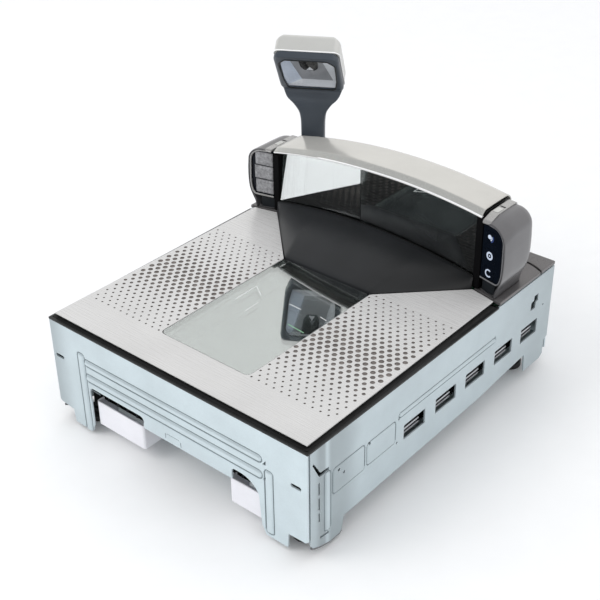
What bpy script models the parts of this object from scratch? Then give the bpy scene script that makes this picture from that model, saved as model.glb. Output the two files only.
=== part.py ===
"""In-counter scanner and scale for a checkout lane, with a short reader on a rear pole.

The object is modelled in metres, +Z up. X runs along the operator's edge, Y runs from that edge
to the back, and the origin is on the resting plane, in the middle of the footprint.
Places inside the model are written with at(x, y, z) in millimetres: x from the middle, y from the
front face and z from the chassis rim, which is level with the counter when the unit is installed.
"""
import math

import bmesh
import bpy
from mathutils import Matrix, Vector

MM = 0.001

# Driving dimensions, in millimetres
WIDTH = 292.0
DEPTH = 354.0
RIM_HEIGHT = 108.0          # resting plane to chassis rim
PLATTER_TOP = 4.2           # platter surface above the rim
GAP = 0.3                   # clearance between neighbouring pieces
SHEET = 1.6                 # chassis sheet thickness

HALF = WIDTH / 2
LEG_BOTTOM = -103.5         # lower edge of the sheet legs
PAN_Z = -76.0               # underside of the base pan

WINDOW_HALF = 50.0          # platter window, half width
WINDOW_FRONT = 41.0
WINDOW_BACK = 199.0
RISER_FRONT_HALF = 49.0
RISER_BACK_HALF = 114.0
RISER_FRONT = 200.0
RISER_BACK = 264.0

TOWER_FRONT = 266.0         # plane of the upright window
TOWER_BACK = 311.0
ARCH_RADIUS = 590.0         # roof and window arch
ARCH_TOP = 86.0             # crown of the roof above the rim
BONNET_HALF = 119.0
CAP_INNER = 121.5           # inner edge of each end cap
CAP_YAW = math.radians(13.3)

POLE_X = -116.8
POLE_Y = 323.0
POLE_YAW = math.radians(29.7)
HEAD_TILT = math.radians(39.0)
HEAD_BASE = 114.6           # height of the head's lower edge above the rim
HEAD_HALF = 31.0
HEAD_LENGTH = 60.0          # up the slanted face of the head

SCALE_TRAVEL = 0.3          # how far the platter sinks at full load


# ---------------------------------------------------------------- scene and materials

def clear_scene():
    for obj in list(bpy.data.objects):
        bpy.data.objects.remove(obj, do_unlink=True)


def new_collection(name):
    collection = bpy.data.collections.new(name)
    bpy.context.scene.collection.children.link(collection)
    return collection


clear_scene()
PARTS = new_collection("checkout_scanner")
CUTTERS = new_collection("cutters")


def make_material(name, colour, roughness, metallic=0.0, transmission=0.0):
    material = bpy.data.materials.new(name)
    material.use_nodes = True
    shader = material.node_tree.nodes["Principled BSDF"]
    shader.inputs["Base Color"].default_value = (*colour, 1.0)
    shader.inputs["Roughness"].default_value = roughness
    shader.inputs["Metallic"].default_value = metallic
    shader.inputs["Transmission Weight"].default_value = transmission
    material.diffuse_color = (*colour, 1.0)
    return material


ZINC = make_material("zinc_sheet", (0.60, 0.70, 0.74), 0.38, 0.75)
STAINLESS = make_material("brushed_stainless", (0.66, 0.65, 0.63), 0.32, 1.0)
SILVER = make_material("satin_silver", (0.66, 0.64, 0.61), 0.35, 0.6)
BLACK = make_material("black_plastic", (0.012, 0.013, 0.014), 0.45)
GLOSS = make_material("gloss_black", (0.008, 0.010, 0.014), 0.08)
CHARCOAL = make_material("charcoal_plastic", (0.045, 0.050, 0.056), 0.35)
GREY = make_material("grey_plastic", (0.20, 0.195, 0.20), 0.45)
PALE = make_material("pale_plastic", (0.55, 0.56, 0.55), 0.5)
RUBBER = make_material("black_rubber", (0.02, 0.02, 0.02), 0.85)
GLASS = make_material("window_glass", (0.80, 0.86, 0.84), 0.03, 0.0, 0.85)
MIRROR = make_material("front_mirror", (0.85, 0.88, 0.88), 0.03, 1.0)
ALUMINIUM = make_material("machined_aluminium", (0.70, 0.71, 0.72), 0.3, 1.0)
BOARD = make_material("circuit_board", (0.02, 0.16, 0.07), 0.5)
BRACKET_PAINT = make_material("white_paint", (0.80, 0.82, 0.85), 0.4)


# ---------------------------------------------------------------- placing and building helpers

def at(x, y, z):
    """World point, in metres, from millimetres off the middle, the front face and the rim."""
    return Vector((x, y - DEPTH / 2, z + RIM_HEIGHT)) * MM


def frame_at(origin, turn_z=0.0, turn_x=0.0):
    """World matrix of a local millimetre frame at a place, turned about Z and then about its X."""
    turn = Matrix.Rotation(turn_z, 4, "Z") @ Matrix.Rotation(turn_x, 4, "X")
    return Matrix.Translation(origin) @ turn @ Matrix.Scale(MM, 4)


BASE_FRAME = frame_at(at(0, 0, 0))
FACING_FRONT = Matrix.Rotation(math.pi / 2, 4, "X")     # outline (x, z), thickness along -y
FACING_SIDE = Matrix(((0, 0, 1, 0), (1, 0, 0, 0), (0, 1, 0, 0), (0, 0, 0, 1)))


def finish(mesh_or_bmesh, name, material, origin=None, smooth_angle=None, collection=None):
    """Make the object from geometry in world metres, with its origin at a point in the world."""
    if isinstance(mesh_or_bmesh, bmesh.types.BMesh):
        mesh = bpy.data.meshes.new(name)
        bmesh.ops.recalc_face_normals(mesh_or_bmesh, faces=mesh_or_bmesh.faces)
        mesh_or_bmesh.to_mesh(mesh)
        mesh_or_bmesh.free()
    else:
        mesh = mesh_or_bmesh
        mesh.name = name
    if origin is None:
        corners = [vertex.co for vertex in mesh.vertices]
        low = Vector([min(c[i] for c in corners) for i in range(3)])
        high = Vector([max(c[i] for c in corners) for i in range(3)])
        origin = (low + high) / 2
    mesh.transform(Matrix.Translation(-origin))
    if smooth_angle is not None:
        mesh.shade_smooth()
        mesh.set_sharp_from_angle(angle=math.radians(smooth_angle))
    mesh.materials.append(material)
    obj = bpy.data.objects.new(name, mesh)
    obj.location = origin
    (collection or PARTS).objects.link(obj)
    return obj


def as_cutter(obj):
    obj.hide_render = True
    obj.display_type = "WIRE"
    return obj


def combine(obj, other, operation):
    modifier = obj.modifiers.new(operation.lower(), "BOOLEAN")
    modifier.operation = operation
    modifier.solver = "EXACT"
    modifier.object = as_cutter(other)


def block(name, x, y, z, material, bevel=0.0, frame=BASE_FRAME, origin=None, collection=None):
    """A box between the ends of three spans, its corners rounded when bevel is given."""
    bm = bmesh.new()
    bmesh.ops.create_cube(bm, size=1.0)
    size = Vector((x[1] - x[0], y[1] - y[0], z[1] - z[0]))
    centre = Vector((x[0] + x[1], y[0] + y[1], z[0] + z[1])) / 2
    bmesh.ops.scale(bm, vec=size, verts=bm.verts)
    bmesh.ops.translate(bm, vec=centre, verts=bm.verts)
    if bevel:
        bmesh.ops.bevel(bm, geom=bm.edges, offset=bevel, segments=2, affect="EDGES", profile=0.5)
    bmesh.ops.transform(bm, matrix=frame, verts=bm.verts)
    return finish(bm, name, material, origin, 40 if bevel else None, collection)


def cylinder(name, centre, radius, length, material, axis="Z", frame=BASE_FRAME, sides=24,
             top_radius=None, collection=None):
    """A capped cylinder or cone centred on a place, along a local axis."""
    bm = bmesh.new()
    top = radius if top_radius is None else top_radius
    bmesh.ops.create_cone(bm, cap_ends=True, segments=sides, radius1=radius, radius2=top, depth=length)
    turn = {"X": Matrix.Rotation(math.pi / 2, 4, "Y"), "Y": Matrix.Rotation(-math.pi / 2, 4, "X"),
            "Z": Matrix.Identity(4)}[axis]
    bmesh.ops.transform(bm, matrix=frame @ Matrix.Translation(Vector(centre)) @ turn, verts=bm.verts)
    return finish(bm, name, material, None, 40, collection)


def arc(centre, radius, start, end, steps=6):
    """Points on an arc, angles in degrees."""
    points = []
    for i in range(steps + 1):
        angle = math.radians(start + (end - start) * i / steps)
        points.append((centre[0] + radius * math.cos(angle), centre[1] + radius * math.sin(angle)))
    return points


def rounded(x, y, radius, steps=4):
    """A rounded rectangle between two spans, anticlockwise."""
    r = min(radius, abs(x[1] - x[0]) / 2 - 0.01, abs(y[1] - y[0]) / 2 - 0.01)
    return (arc((x[1] - r, y[0] + r), r, -90, 0, steps) + arc((x[1] - r, y[1] - r), r, 0, 90, steps)
            + arc((x[0] + r, y[1] - r), r, 90, 180, steps) + arc((x[0] + r, y[0] + r), r, 180, 270, steps))


def plate(name, outline, thickness, place, material, holes=(), origin=None, collection=None):
    """A flat plate from a closed outline with holes, thickness centred on the outline's plane.

    The fill leaves slits between corners that lie on one row, so the outline is turned while
    it is filled, and turned back afterwards.
    """
    turned = Matrix.Rotation(math.radians(7.3), 4, "Z")
    curve = bpy.data.curves.new(name, "CURVE")
    curve.dimensions = "2D"
    curve.fill_mode = "BOTH"
    curve.extrude = thickness / 2
    for loop in (outline, *holes):
        spline = curve.splines.new("POLY")
        spline.points.add(len(loop) - 1)
        for point, (u, v) in zip(spline.points, loop):
            point.co = (turned @ Vector((u, v, 0.0))).to_4d()
        spline.use_cyclic_u = True
    holder = bpy.data.objects.new(name, curve)
    bpy.context.scene.collection.objects.link(holder)
    evaluated = holder.evaluated_get(bpy.context.evaluated_depsgraph_get())
    mesh = bpy.data.meshes.new_from_object(evaluated)
    bpy.data.objects.remove(holder, do_unlink=True)
    bpy.data.curves.remove(curve)
    bm = bmesh.new()
    bm.from_mesh(mesh)
    bpy.data.meshes.remove(mesh)
    bmesh.ops.remove_doubles(bm, verts=bm.verts, dist=0.001)
    bmesh.ops.transform(bm, matrix=place @ turned.inverted(), verts=bm.verts)
    return finish(bm, name, material, origin, None, collection)


def level_plate(name, outline, z, material, holes=(), collection=None):
    """A horizontal plate between two heights."""
    place = BASE_FRAME @ Matrix.Translation((0, 0, (z[0] + z[1]) / 2))
    return plate(name, outline, z[1] - z[0], place, material, holes, None, collection)


def front_plate(name, outline, y, material, holes=(), frame=BASE_FRAME, origin=None, collection=None):
    """An upright plate that faces the operator, between two depths."""
    place = frame @ Matrix.Translation((0, (y[0] + y[1]) / 2, 0)) @ FACING_FRONT
    return plate(name, outline, y[1] - y[0], place, material, holes, origin, collection)


def side_plate(name, outline, x, material, holes=(), collection=None):
    """An upright plate that faces sideways, between two x values; its outline is (y, z)."""
    place = BASE_FRAME @ Matrix.Translation(((x[0] + x[1]) / 2, 0, 0)) @ FACING_SIDE
    return plate(name, outline, x[1] - x[0], place, material, holes, None, collection)


def loft(name, rings, material, frame=BASE_FRAME, smooth_angle=35, collection=None):
    """A closed solid through rings of points that all have the same count."""
    bm = bmesh.new()
    loops = [[bm.verts.new(point) for point in ring] for ring in rings]
    count = len(loops[0])
    for lower, upper in zip(loops, loops[1:]):
        for i in range(count):
            j = (i + 1) % count
            bm.faces.new((lower[i], lower[j], upper[j], upper[i]))
    bm.faces.new(list(reversed(loops[0])))
    bm.faces.new(loops[-1])
    bmesh.ops.transform(bm, matrix=frame, verts=bm.verts)
    return finish(bm, name, material, None, smooth_angle, collection)


def sheet(name, rows, thickness, material, frame=BASE_FRAME, closed_end=False, smooth_angle=35):
    """A shell through rows of points. Each face looks outward and the wall grows inward."""
    bm = bmesh.new()
    grid = [[bm.verts.new(point) for point in row] for row in rows]
    for lower, upper in zip(grid, grid[1:]):
        for i in range(len(lower) - 1):
            bm.faces.new((lower[i], lower[i + 1], upper[i + 1], upper[i]))
    if closed_end:
        bm.faces.new(grid[-1])
    bmesh.ops.transform(bm, matrix=frame, verts=bm.verts)
    mesh = bpy.data.meshes.new(name)
    bm.to_mesh(mesh)
    bm.free()
    obj = finish(mesh, name, material, None, smooth_angle)
    solidify = obj.modifiers.new("wall", "SOLIDIFY")
    solidify.thickness = thickness * MM
    solidify.offset = -1.0
    solidify.use_even_offset = True
    return obj


def wire(name, points, radius, material):
    """A round cable through a few places."""
    curve = bpy.data.curves.new(name, "CURVE")
    curve.dimensions = "3D"
    curve.bevel_depth = radius * MM
    curve.bevel_resolution = 2
    curve.use_fill_caps = True
    spline = curve.splines.new("POLY")
    spline.points.add(len(points) - 1)
    for point, place in zip(spline.points, points):
        point.co = (*at(*place), 1.0)
    obj = bpy.data.objects.new(name, curve)
    curve.materials.append(material)
    PARTS.objects.link(obj)
    weld = obj.modifiers.new("weld", "WELD")
    weld.merge_threshold = 0.00001
    return obj


# ---------------------------------------------------------------- shared outlines

def arch_height(x, crown):
    """Height of the arch over x, for an arch whose top is at the crown height."""
    return crown - (ARCH_RADIUS - math.sqrt(ARCH_RADIUS ** 2 - x * x))


def arch_points(half, crown, steps, reverse=False):
    xs = [-half + 2 * half * i / steps for i in range(steps + 1)]
    points = [(x, arch_height(x, crown)) for x in xs]
    return points[::-1] if reverse else points


def platter_outline(margin):
    """The U-shaped platter round the window and the riser, drawn in by a margin."""
    m = margin
    notch = WINDOW_HALF + m
    return ([(-141.8 + m, 4.5 + m), (141.8 - m, 4.5 + m), (139.5 - m, 257.6 - m),
             (114.4 + m, 263.2 - m), (notch, 199.0)]
            + arc((notch - 5, WINDOW_FRONT - m + 5), 5, 0, -90, 4)
            + arc((-notch + 5, WINDOW_FRONT - m + 5), 5, -90, -180, 4)
            + [(-notch, 199.0), (-114.4 - m, 263.2 - m), (-139.5 + m, 257.6 - m)])


# ---------------------------------------------------------------- chassis

RIB_LEFT = -104.0
RIB_RIGHT = 99.0
RIBS = ((-32.0, -26.0), (-48.0, -41.0))     # lower and upper edge of each pressed rib
BEAD_X = (-107.5, 107.5)


def front_panel():
    outline = ([(-145.0, 0.0), (-145.0, -88.0), (-128.0, -90.5), (-126.5, LEG_BOTTOM),
                (-104.5, LEG_BOTTOM), (-101.0, -95.0), (-101.0, -60.0)]
               + arc((-96.0, -59.0), 5, 180, 90, 4) + arc((-38.0, -58.5), 4.5, 90, 0, 4)
               + [(-33.5, -65.0), (67.0, -65.0), (67.0, -57.0), (71.0, -53.8)]
               + arc((76.0, -76.0), 22.2, 86, 28, 6)
               + [(98.0, -95.0), (102.5, LEG_BOTTOM), (124.5, LEG_BOTTOM), (125.5, -89.0),
                  (145.0, -88.0), (145.0, 0.0)])
    holes = [rounded((x - 5.0, x + 5.0), (-38.3, -35.8), 1.2, 3) for x in (-137.0, 134.0)]
    for low, high in RIBS:
        holes.append([(101.0, low - 0.5), (104.2, low - 0.5), (104.2, low + 4.2)])
    panel = front_plate("front_panel", outline[::-1], (0.0, 1.8), ZINC, holes)
    for index, (low, high) in enumerate(RIBS):
        outline = rounded((RIB_LEFT, RIB_RIGHT), (low, high), 3.2)
        rib = front_plate(f"rib_{index}", outline, (-1.0, 0.9), ZINC, collection=CUTTERS)
        combine(panel, rib, "UNION")
    for index, x in enumerate(BEAD_X):
        outline = rounded((x - 2.6, x + 2.6), (-99.0, -54.0), 2.6)
        bead = front_plate(f"bead_{index}", outline, (-0.9, 0.9), ZINC, collection=CUTTERS)
        combine(panel, bead, "UNION")
    return panel


VENTS = ((121.0, 151.0), (166.0, 196.5), (211.0, 241.0), (257.0, 286.0), (301.0, 329.0))
VENT_Z = (-60.0, -46.5)
SIDE_PRESSINGS = {              # outline as (y, z), and height above the sheet
    "bead": (rounded((20.0, 26.0), (-88.0, -32.0), 3.0), 0.8),
    "pad_front": (rounded((46.0, 69.0), (-57.0, -33.0), 3.0), 0.4),
    "pad_rear": (rounded((73.0, 108.0), (-53.0, -36.0), 3.0), 0.4),
    "ridge": (rounded((115.0, 255.0), (-33.5, -31.0), 1.2, 3), 0.8),
}


def side_panel(side):
    name = "right_side_panel" if side > 0 else "left_side_panel"
    outline = [(2.2, 0.0), (2.2, -90.0), (5.0, -95.5), (26.0, -103.5), (40.0, -103.5), (43.0, -88.0),
               (231.0, -84.5), (311.0, -78.0), (313.0, -97.5), (346.0, -97.5), (346.0, -79.0),
               (351.6, -77.0), (351.6, 0.0)]
    holes = [rounded(span, VENT_Z, 1.0, 2) for span in VENTS]
    holes.append([(6.0, -13.6), (7.0, -13.2), (14.3, -26.6), (24.6, -27.4), (24.6, -29.6), (13.4, -28.4)])
    for low, high in ((-47.0, -35.0), (-62.0, -50.0), (-74.0, -65.0)):
        holes.append([(12.5, low), (13.5, low), (13.5, high), (12.5, high)])
    holes.append([(14.0, -91.5), (25.0, -92.6), (25.0, -90.6), (14.0, -89.5)])
    holes.append([(317.0, -31.0), (319.5, -28.0), (319.5, -22.0), (323.0, -19.5), (323.0, -27.0),
                  (320.0, -31.0)])
    holes.append(arc((337.0, -35.0), 1.1, 0, 315, 7))
    holes.append(arc((36.5, -37.0), 1.2, 0, 315, 7))
    holes.append(arc((42.5, -43.0), 1.2, 0, 315, 7))
    inner = HALF - SHEET
    span = (inner, HALF) if side > 0 else (-HALF, -inner)
    panel = side_plate(name, outline, span, ZINC, holes)
    for label, (loop, height) in SIDE_PRESSINGS.items():
        root, crest = side * (HALF - 0.8), side * (HALF + height)
        pressing = side_plate(f"{label}_{name}", loop, (min(root, crest), max(root, crest)), ZINC,
                              collection=CUTTERS)
        combine(panel, pressing, "UNION")
    return panel


def rear_panel():
    outline = [(-144.1, 0.0), (-144.1, -92.0), (144.1, -92.0), (144.1, 0.0)]
    holes = [rounded((x - 22.0, x + 22.0), (-60.0, -46.0), 3.0) for x in (-90.0, -30.0, 30.0)]
    holes.append(rounded((78.0, 122.0), (-34.0, -10.0), 4.0))
    return front_plate("rear_panel", outline, (352.2, DEPTH), ZINC, holes)


FEET = ((-122.0, 24.0), (122.0, 24.0), (-122.0, 328.0), (122.0, 328.0))
FOOT_NAMES = ("front_left", "front_right", "rear_left", "rear_right")


def base_pan():
    outline = rounded((-143.8, 143.8), (2.3, 351.4), 2.0, 2)
    holes = [arc(foot, 4.4, 0, 345, 15) for foot in FEET]
    return level_plate("base_pan", outline, (PAN_Z, PAN_Z + 1.6), ZINC, holes)


def levelling_foot(label, centre):
    """A rubber-faced pad on a threaded stem that screws through the base pan."""
    profile = ((3.8, -60.0), (3.8, -96.0), (8.0, -99.0), (11.0, -101.0), (11.0, -107.0),
               (10.0, -RIM_HEIGHT))
    rings = []
    for radius, z in profile:
        rings.append([(x, y, z) for x, y in arc(centre, radius, 0, 342, 19)])
    return loft(f"levelling_foot_{label}", rings, RUBBER)


def counter_bracket(name, span):
    """A folded white box under the front edge that carries the unit on the counter cut-out."""
    return block(name, span, (4.0, 22.0), (-94.0, PAN_Z - GAP), BRACKET_PAINT, 0.8)


# ---------------------------------------------------------------- deck round the platter

def top_frame():
    outline = [(-144.0, 2.2), (144.0, 2.2), (144.0, 258.0), (-144.0, 258.0)]
    opening = rounded((-136.9, 136.9), (9.6, 256.0), 4.0, 3)
    return level_plate("top_frame", outline, (-9.0, -0.5), BLACK, [opening])


def drip_seal():
    outline = rounded((-143.4, 143.4), (2.7, 257.6), 2.0, 2)
    opening = rounded((-138.2, 138.2), (8.4, 255.0), 3.0, 3)
    return level_plate("drip_seal", outline, (-0.2, 0.3), RUBBER, [opening])


def platter():
    return level_plate("platter", platter_outline(0.0), (3.0, PLATTER_TOP), STAINLESS)


def platter_backing():
    """The stiff black plate under the platter skin, with a ledge for the window glass."""
    outline = [(-135.6, 11.0), (135.6, 11.0), (135.6, 251.0), (107.0, 251.0), (53.5, 197.5),
               (-53.5, 197.5), (-107.0, 251.0), (-135.6, 251.0)]
    opening = rounded((-44.0, 44.0), (47.0, 190.0), 4.0, 3)
    backing = level_plate("platter_backing", outline, (-1.4, 0.9), BLACK, [opening])
    core = level_plate("backing_core", platter_outline(0.4), (0.75, 2.7), BLACK, collection=CUTTERS)
    combine(backing, core, "UNION")
    return backing


def platter_window():
    outline = rounded((-WINDOW_HALF + 0.5, WINDOW_HALF - 0.5), (WINDOW_FRONT + 0.5, WINDOW_BACK), 5.0)
    return level_plate("platter_window", outline, (1.0, 3.8), GLASS)


# ---------------------------------------------------------------- weighing parts

ARM_Y = (28.0, 236.0)
PAD_X = 118.0
CELL_TOP = -18.0


def scale_spider():
    """The H-shaped carrier that takes the platter's load to the load cell."""
    outline = [(-126.0, 22.0), (126.0, 22.0), (126.0, 34.0), (78.0, 34.0), (78.0, 226.0), (126.0, 226.0),
               (126.0, 246.0), (84.0, 246.0), (64.0, 226.0), (64.0, 34.0), (-64.0, 34.0), (-64.0, 226.0),
               (-84.0, 246.0), (-126.0, 246.0), (-126.0, 226.0), (-78.0, 226.0), (-78.0, 190.0),
               (-114.0, 190.0), (-114.0, 156.0), (-78.0, 156.0), (-78.0, 34.0), (-126.0, 34.0)]
    spider = level_plate("scale_spider", outline, (-14.0, -10.0), ALUMINIUM)
    for index, (x, y) in enumerate((x, y) for y in ARM_Y for x in (-PAD_X, PAD_X)):
        post = cylinder(f"spider_post_{index}", (x, y, -6.6), 5.0, 9.8, ALUMINIUM, sides=16,
                        collection=CUTTERS)
        combine(spider, post, "UNION")
    spacer_bottom = CELL_TOP + GAP + SCALE_TRAVEL
    spacer = block("spider_spacer", (-109.0, -89.0), (160.0, 184.0), (spacer_bottom, -12.0), ALUMINIUM,
                   collection=CUTTERS)
    combine(spider, spacer, "UNION")
    return spider


def load_cell():
    body = block("load_cell", (-113.0, -85.0), (58.0, 188.0), (CELL_TOP - 22.0, CELL_TOP), ALUMINIUM)
    outline = rounded((100.0, 146.0), (-35.0, -23.0), 5.9)
    slot = side_plate("cell_slot", outline, (-120.0, -80.0), ALUMINIUM, collection=CUTTERS)
    combine(body, slot, "DIFFERENCE")
    return body


def load_cell_mount():
    return block("load_cell_mount", (-111.0, -87.0), (60.0, 88.0), (PAN_Z + SHEET + GAP, CELL_TOP - 22.3),
                 ALUMINIUM)


# ---------------------------------------------------------------- optics under the platter

def lower_optics():
    tub = block("optics_tub", (-56.0, 56.0), (40.0, 204.0), (-70.0, -16.0), BLACK)
    hollow = block("tub_hollow", (-53.0, 53.0), (43.0, 201.0), (-67.0, 0.0), BLACK, collection=CUTTERS)
    combine(tub, hollow, "DIFFERENCE")
    for label, side in (("left", -1), ("right", 1)):
        lean = Matrix.Rotation(side * math.radians(-48), 4, "Y")
        place = frame_at(at(side * 32.0, 122.0, -44.0)) @ lean
        block(f"lower_mirror_{label}", (-22.0, 22.0), (-70.0, 70.0), (-1.0, 1.0), MIRROR, frame=place)
    cylinder("lower_camera", (0.0, 125.0, -61.2), 7.0, 11.0, GLOSS)


# ---------------------------------------------------------------- tower

def riser():
    """The dark ramp between the platter window and the upright window."""
    steps = 14
    rows = []
    for i in range(steps + 1):
        t = 1.0 - 2.0 * i / steps
        front_t = max(-1.0, min(1.0, t * 1.75))
        spread = max(0.0, abs(t) - 1 / 1.75) / (1 - 1 / 1.75)
        widening = spread * (RISER_BACK_HALF - RISER_FRONT_HALF - 0.6)
        front_x = RISER_FRONT_HALF * front_t + math.copysign(widening, t)
        front_y = RISER_FRONT + spread * (RISER_BACK - RISER_FRONT - 1.5)
        back_x = (RISER_BACK_HALF - 0.4) * t
        back_z = arch_height(back_x, 27.0)
        low = Vector((front_x, front_y, 0.9))
        lip = Vector((front_x, front_y, PLATTER_TOP + 0.6))
        back = Vector((back_x, RISER_BACK, back_z))
        bulge = Vector((0.0, 0.0, 1.6 * (1.0 - spread)))
        rows.append([low, lip, lip.lerp(back, 0.35) + bulge, lip.lerp(back, 0.7) + bulge * 0.8, back])
    return sheet("riser", rows, 1.4, CHARCOAL)


def upright_window():
    outline = arch_points(112.4, 23.5, 16) + arch_points(112.4, 81.0, 16, True)
    return front_plate("upright_window", outline, (TOWER_FRONT, TOWER_FRONT + 2.5), GLASS)


def window_frame():
    """The black frame of the upright window: a post at each side and a sill behind the riser."""
    top = arch_height(120.6, ARCH_TOP) - 2.4
    outline = [(-120.6, 4.9), (120.6, 4.9), (120.6, top), (112.8, top), (112.8, 10.4), (-112.8, 10.4),
               (-112.8, top), (-120.6, top)]
    return front_plate("window_frame", outline, (265.2, 271.5), BLACK)


def bonnet():
    """The silver roof: a front lip, an arched top and a rounded drop at the back."""
    rows = []
    steps = 16
    for i in range(steps + 1):
        x = BONNET_HALF - 2 * BONNET_HALF * i / steps
        top = arch_height(x, ARCH_TOP)
        back = [(TOWER_BACK - 9.0 + 9.0 * math.sin(a), top - 9.0 + 9.0 * math.cos(a))
                for a in (0.0, math.pi / 8, math.pi / 4, 3 * math.pi / 8, math.pi / 2)]
        path = [(259.0, top - 5.0), (259.6, top - 2.2), (262.4, top - 0.4), (266.0, top)] + back
        path.append((TOWER_BACK, 4.6))
        rows.append([(x, y, z) for y, z in path])
    return sheet("bonnet", rows, 1.6, SILVER)


def cap_path():
    """Outline of an end cap from its inner top, over the shoulder and down to the foot, as (x, z)."""
    return ([(CAP_INNER, 73.6), (129.6, 73.4)] + arc((131.6, 59.6), 13.8, 84, 6, 6)
            + [(HALF, 48.0), (HALF, 38.0), (145.0, 28.0), (142.6, 20.0), (138.6, 12.0), (137.6, 4.6)])


def cap_front(x):
    """Depth of a cap's slanted front edge at x."""
    return 264.6 - (x - CAP_INNER) * math.tan(CAP_YAW)


def end_cap(label, side):
    stations = ((0.0, 0.0, 0.0), (0.08, 0.0, 0.0), (0.55, 0.0, 0.0), (0.86, 0.3, 0.02), (0.96, 1.4, 0.05),
                (1.0, 3.4, 0.09))
    rows = []
    for depth, inset, lean in stations:
        row = []
        for x, z in cap_path():
            front = cap_front(x)
            y = front + (306.0 - front) * depth
            shrink = (x - CAP_INNER) / (HALF - CAP_INNER)
            row.append((side * (x - inset * shrink), y, z - inset * max(0.0, (z - 30.0) / 44.0)))
        rows.append(row if side > 0 else row[::-1])
    return sheet(f"{label}_end_cap", rows, 1.6, GREY, closed_end=True)


def cap_frame(side):
    """Local frame of a cap's slanted front: x outward from its inner edge, -y towards the operator."""
    return frame_at(at(side * CAP_INNER, 264.6, 0.0), -side * CAP_YAW)


def insert_outline(side, margin, low, inner=0.3):
    """Outline of a panel that fills the cap's mouth above a height, in the cap's local frame."""
    points = [(x - CAP_INNER, z) for x, z in cap_path() if z > low]
    centre = Vector((9.0, 46.0))
    shrunk = []
    for u, z in points:
        direction = (Vector((u, z)) - centre).normalized()
        shrunk.append((u - direction.x * margin, z - direction.y * margin))
    loop = [(inner, shrunk[0][1])] + shrunk[1:] + [(shrunk[-1][0] - 5.0, low), (inner, low)]
    return [(side * u, z) for u, z in loop]


KEY_U = 9.2
KEY_Z = (61.2, 44.2, 27.4)
KEY_NAMES = ("volume_key", "zero_key", "reset_key")


def control_cap():
    frame = cap_frame(1)
    holes = [rounded((KEY_U - 6.4, KEY_U + 6.4), (z - 6.4, z + 6.4), 3.0) for z in KEY_Z]
    front_plate("control_panel", insert_outline(1, 3.0, 19.8), (0.8, 2.8), GLOSS, holes, frame)
    for name, z in zip(KEY_NAMES, KEY_Z):
        outline = rounded((KEY_U - 6.0, KEY_U + 6.0), (z - 6.0, z + 6.0), 2.6)
        front_plate(name, outline, (0.5, 3.4), GLOSS, (), frame, frame @ Vector((KEY_U, 1.0, z)))
    block("key_board", (1.0, 17.0), (5.2, 6.8), (21.0, 66.0), BOARD, frame=frame)


GRILLES = {"top": (55.4, 69.2, 16.2), "middle": (40.4, 54.6, 17.2), "bottom": (23.6, 39.6, 16.2)}


def speaker_cap():
    frame = cap_frame(-1)
    front_plate("speaker_panel", insert_outline(-1, 3.0, 19.8), (2.2, 4.0), GLOSS,
                [rounded((-15.0, -3.0), (24.0, 66.0), 2.0)], frame)
    for label, (low, high, reach) in GRILLES.items():
        block(f"speaker_grille_{label}", (-reach, -1.0), (0.2, 1.9), (low, high), GREY, 0.5, frame)
    cylinder("speaker_driver", (-9.0, 12.0, 45.0), 8.5, 14.0, BLACK, "Y", frame)


def cap_foot(label, side):
    """The dark recessed sill under a cap's panel."""
    u = (0.4, 11.6) if side > 0 else (-11.6, -0.4)
    return block(f"{label}_cap_sill", u, (3.0, 9.0), (4.7, 17.6), CHARCOAL, 0.8, cap_frame(side))


def indicator_strip(label, side):
    """The pale light strip along the top of a cap, next to the roof."""
    rings = []
    for x, z in ((121.0, 75.4), (129.0, 75.1)):
        rings.append([(side * x, 263.6, z - 1.2), (side * x, 263.6, z), (side * x, 303.0, z),
                      (side * x, 303.0, z - 1.2)])
    return loft(f"{label}_indicator_strip", rings, SILVER)


def tower_inside():
    """The dark chassis behind the upright window, its two mirrors and its camera."""
    back = front_plate("tower_chassis", rounded((-112.0, 112.0), (4.8, 68.0), 3.0), (303.0, 305.0), BLACK)
    shelf = level_plate("chassis_shelf", [(-112.0, 275.0), (112.0, 275.0), (112.0, 304.0), (-112.0, 304.0)],
                        (4.8, 7.0), BLACK, collection=CUTTERS)
    combine(back, shelf, "UNION")
    for label, side in (("left", -1), ("right", 1)):
        place = frame_at(at(side * 62.0, 288.0, 38.0), side * math.radians(-14), math.radians(-8))
        block(f"upper_mirror_{label}", (-38.0, 38.0), (-1.0, 1.0), (-26.0, 26.0), MIRROR, frame=place)
    cylinder("upper_camera", (0.0, 294.0, 40.0), 8.0, 17.0, GLOSS, "Y")


# ---------------------------------------------------------------- rear deck, cover and electronics

def cover_edge(offset, steps=5):
    """The curved joint between the rear deck and the cable cover, from right to left, as (x, y)."""
    half = []
    for i in range(steps + 1):
        t = i / steps
        half.append((HALF - 0.3 - 21.0 * t, 327.5 + 6.5 * math.sin(t * math.pi / 2)))
    right = [(x, y + offset) for x, y in half]
    return right + [(-x, y) for x, y in reversed(right)]


def rear_deck():
    outline = ([(-145.7, 259.3), (-139.4, 260.0), (-114.6, 265.4), (-112.6, 272.4), (112.6, 272.4),
                (114.6, 265.4), (139.4, 260.0), (145.7, 259.3)] + cover_edge(-0.6))
    holes = [arc((POLE_X, POLE_Y), 4.5, 0, 345, 15), rounded((-95.0, 95.0), (280.0, 296.0), 3.0, 3)]
    deck = level_plate("rear_deck", outline, (0.9, PLATTER_TOP), GREY, holes)
    return deck


def cable_cover():
    outline = cover_edge(0.6) + [(-145.7, 351.8), (145.7, 351.8)]
    return level_plate("cable_cover", outline, (0.9, PLATTER_TOP + 0.2), GREY)


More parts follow.
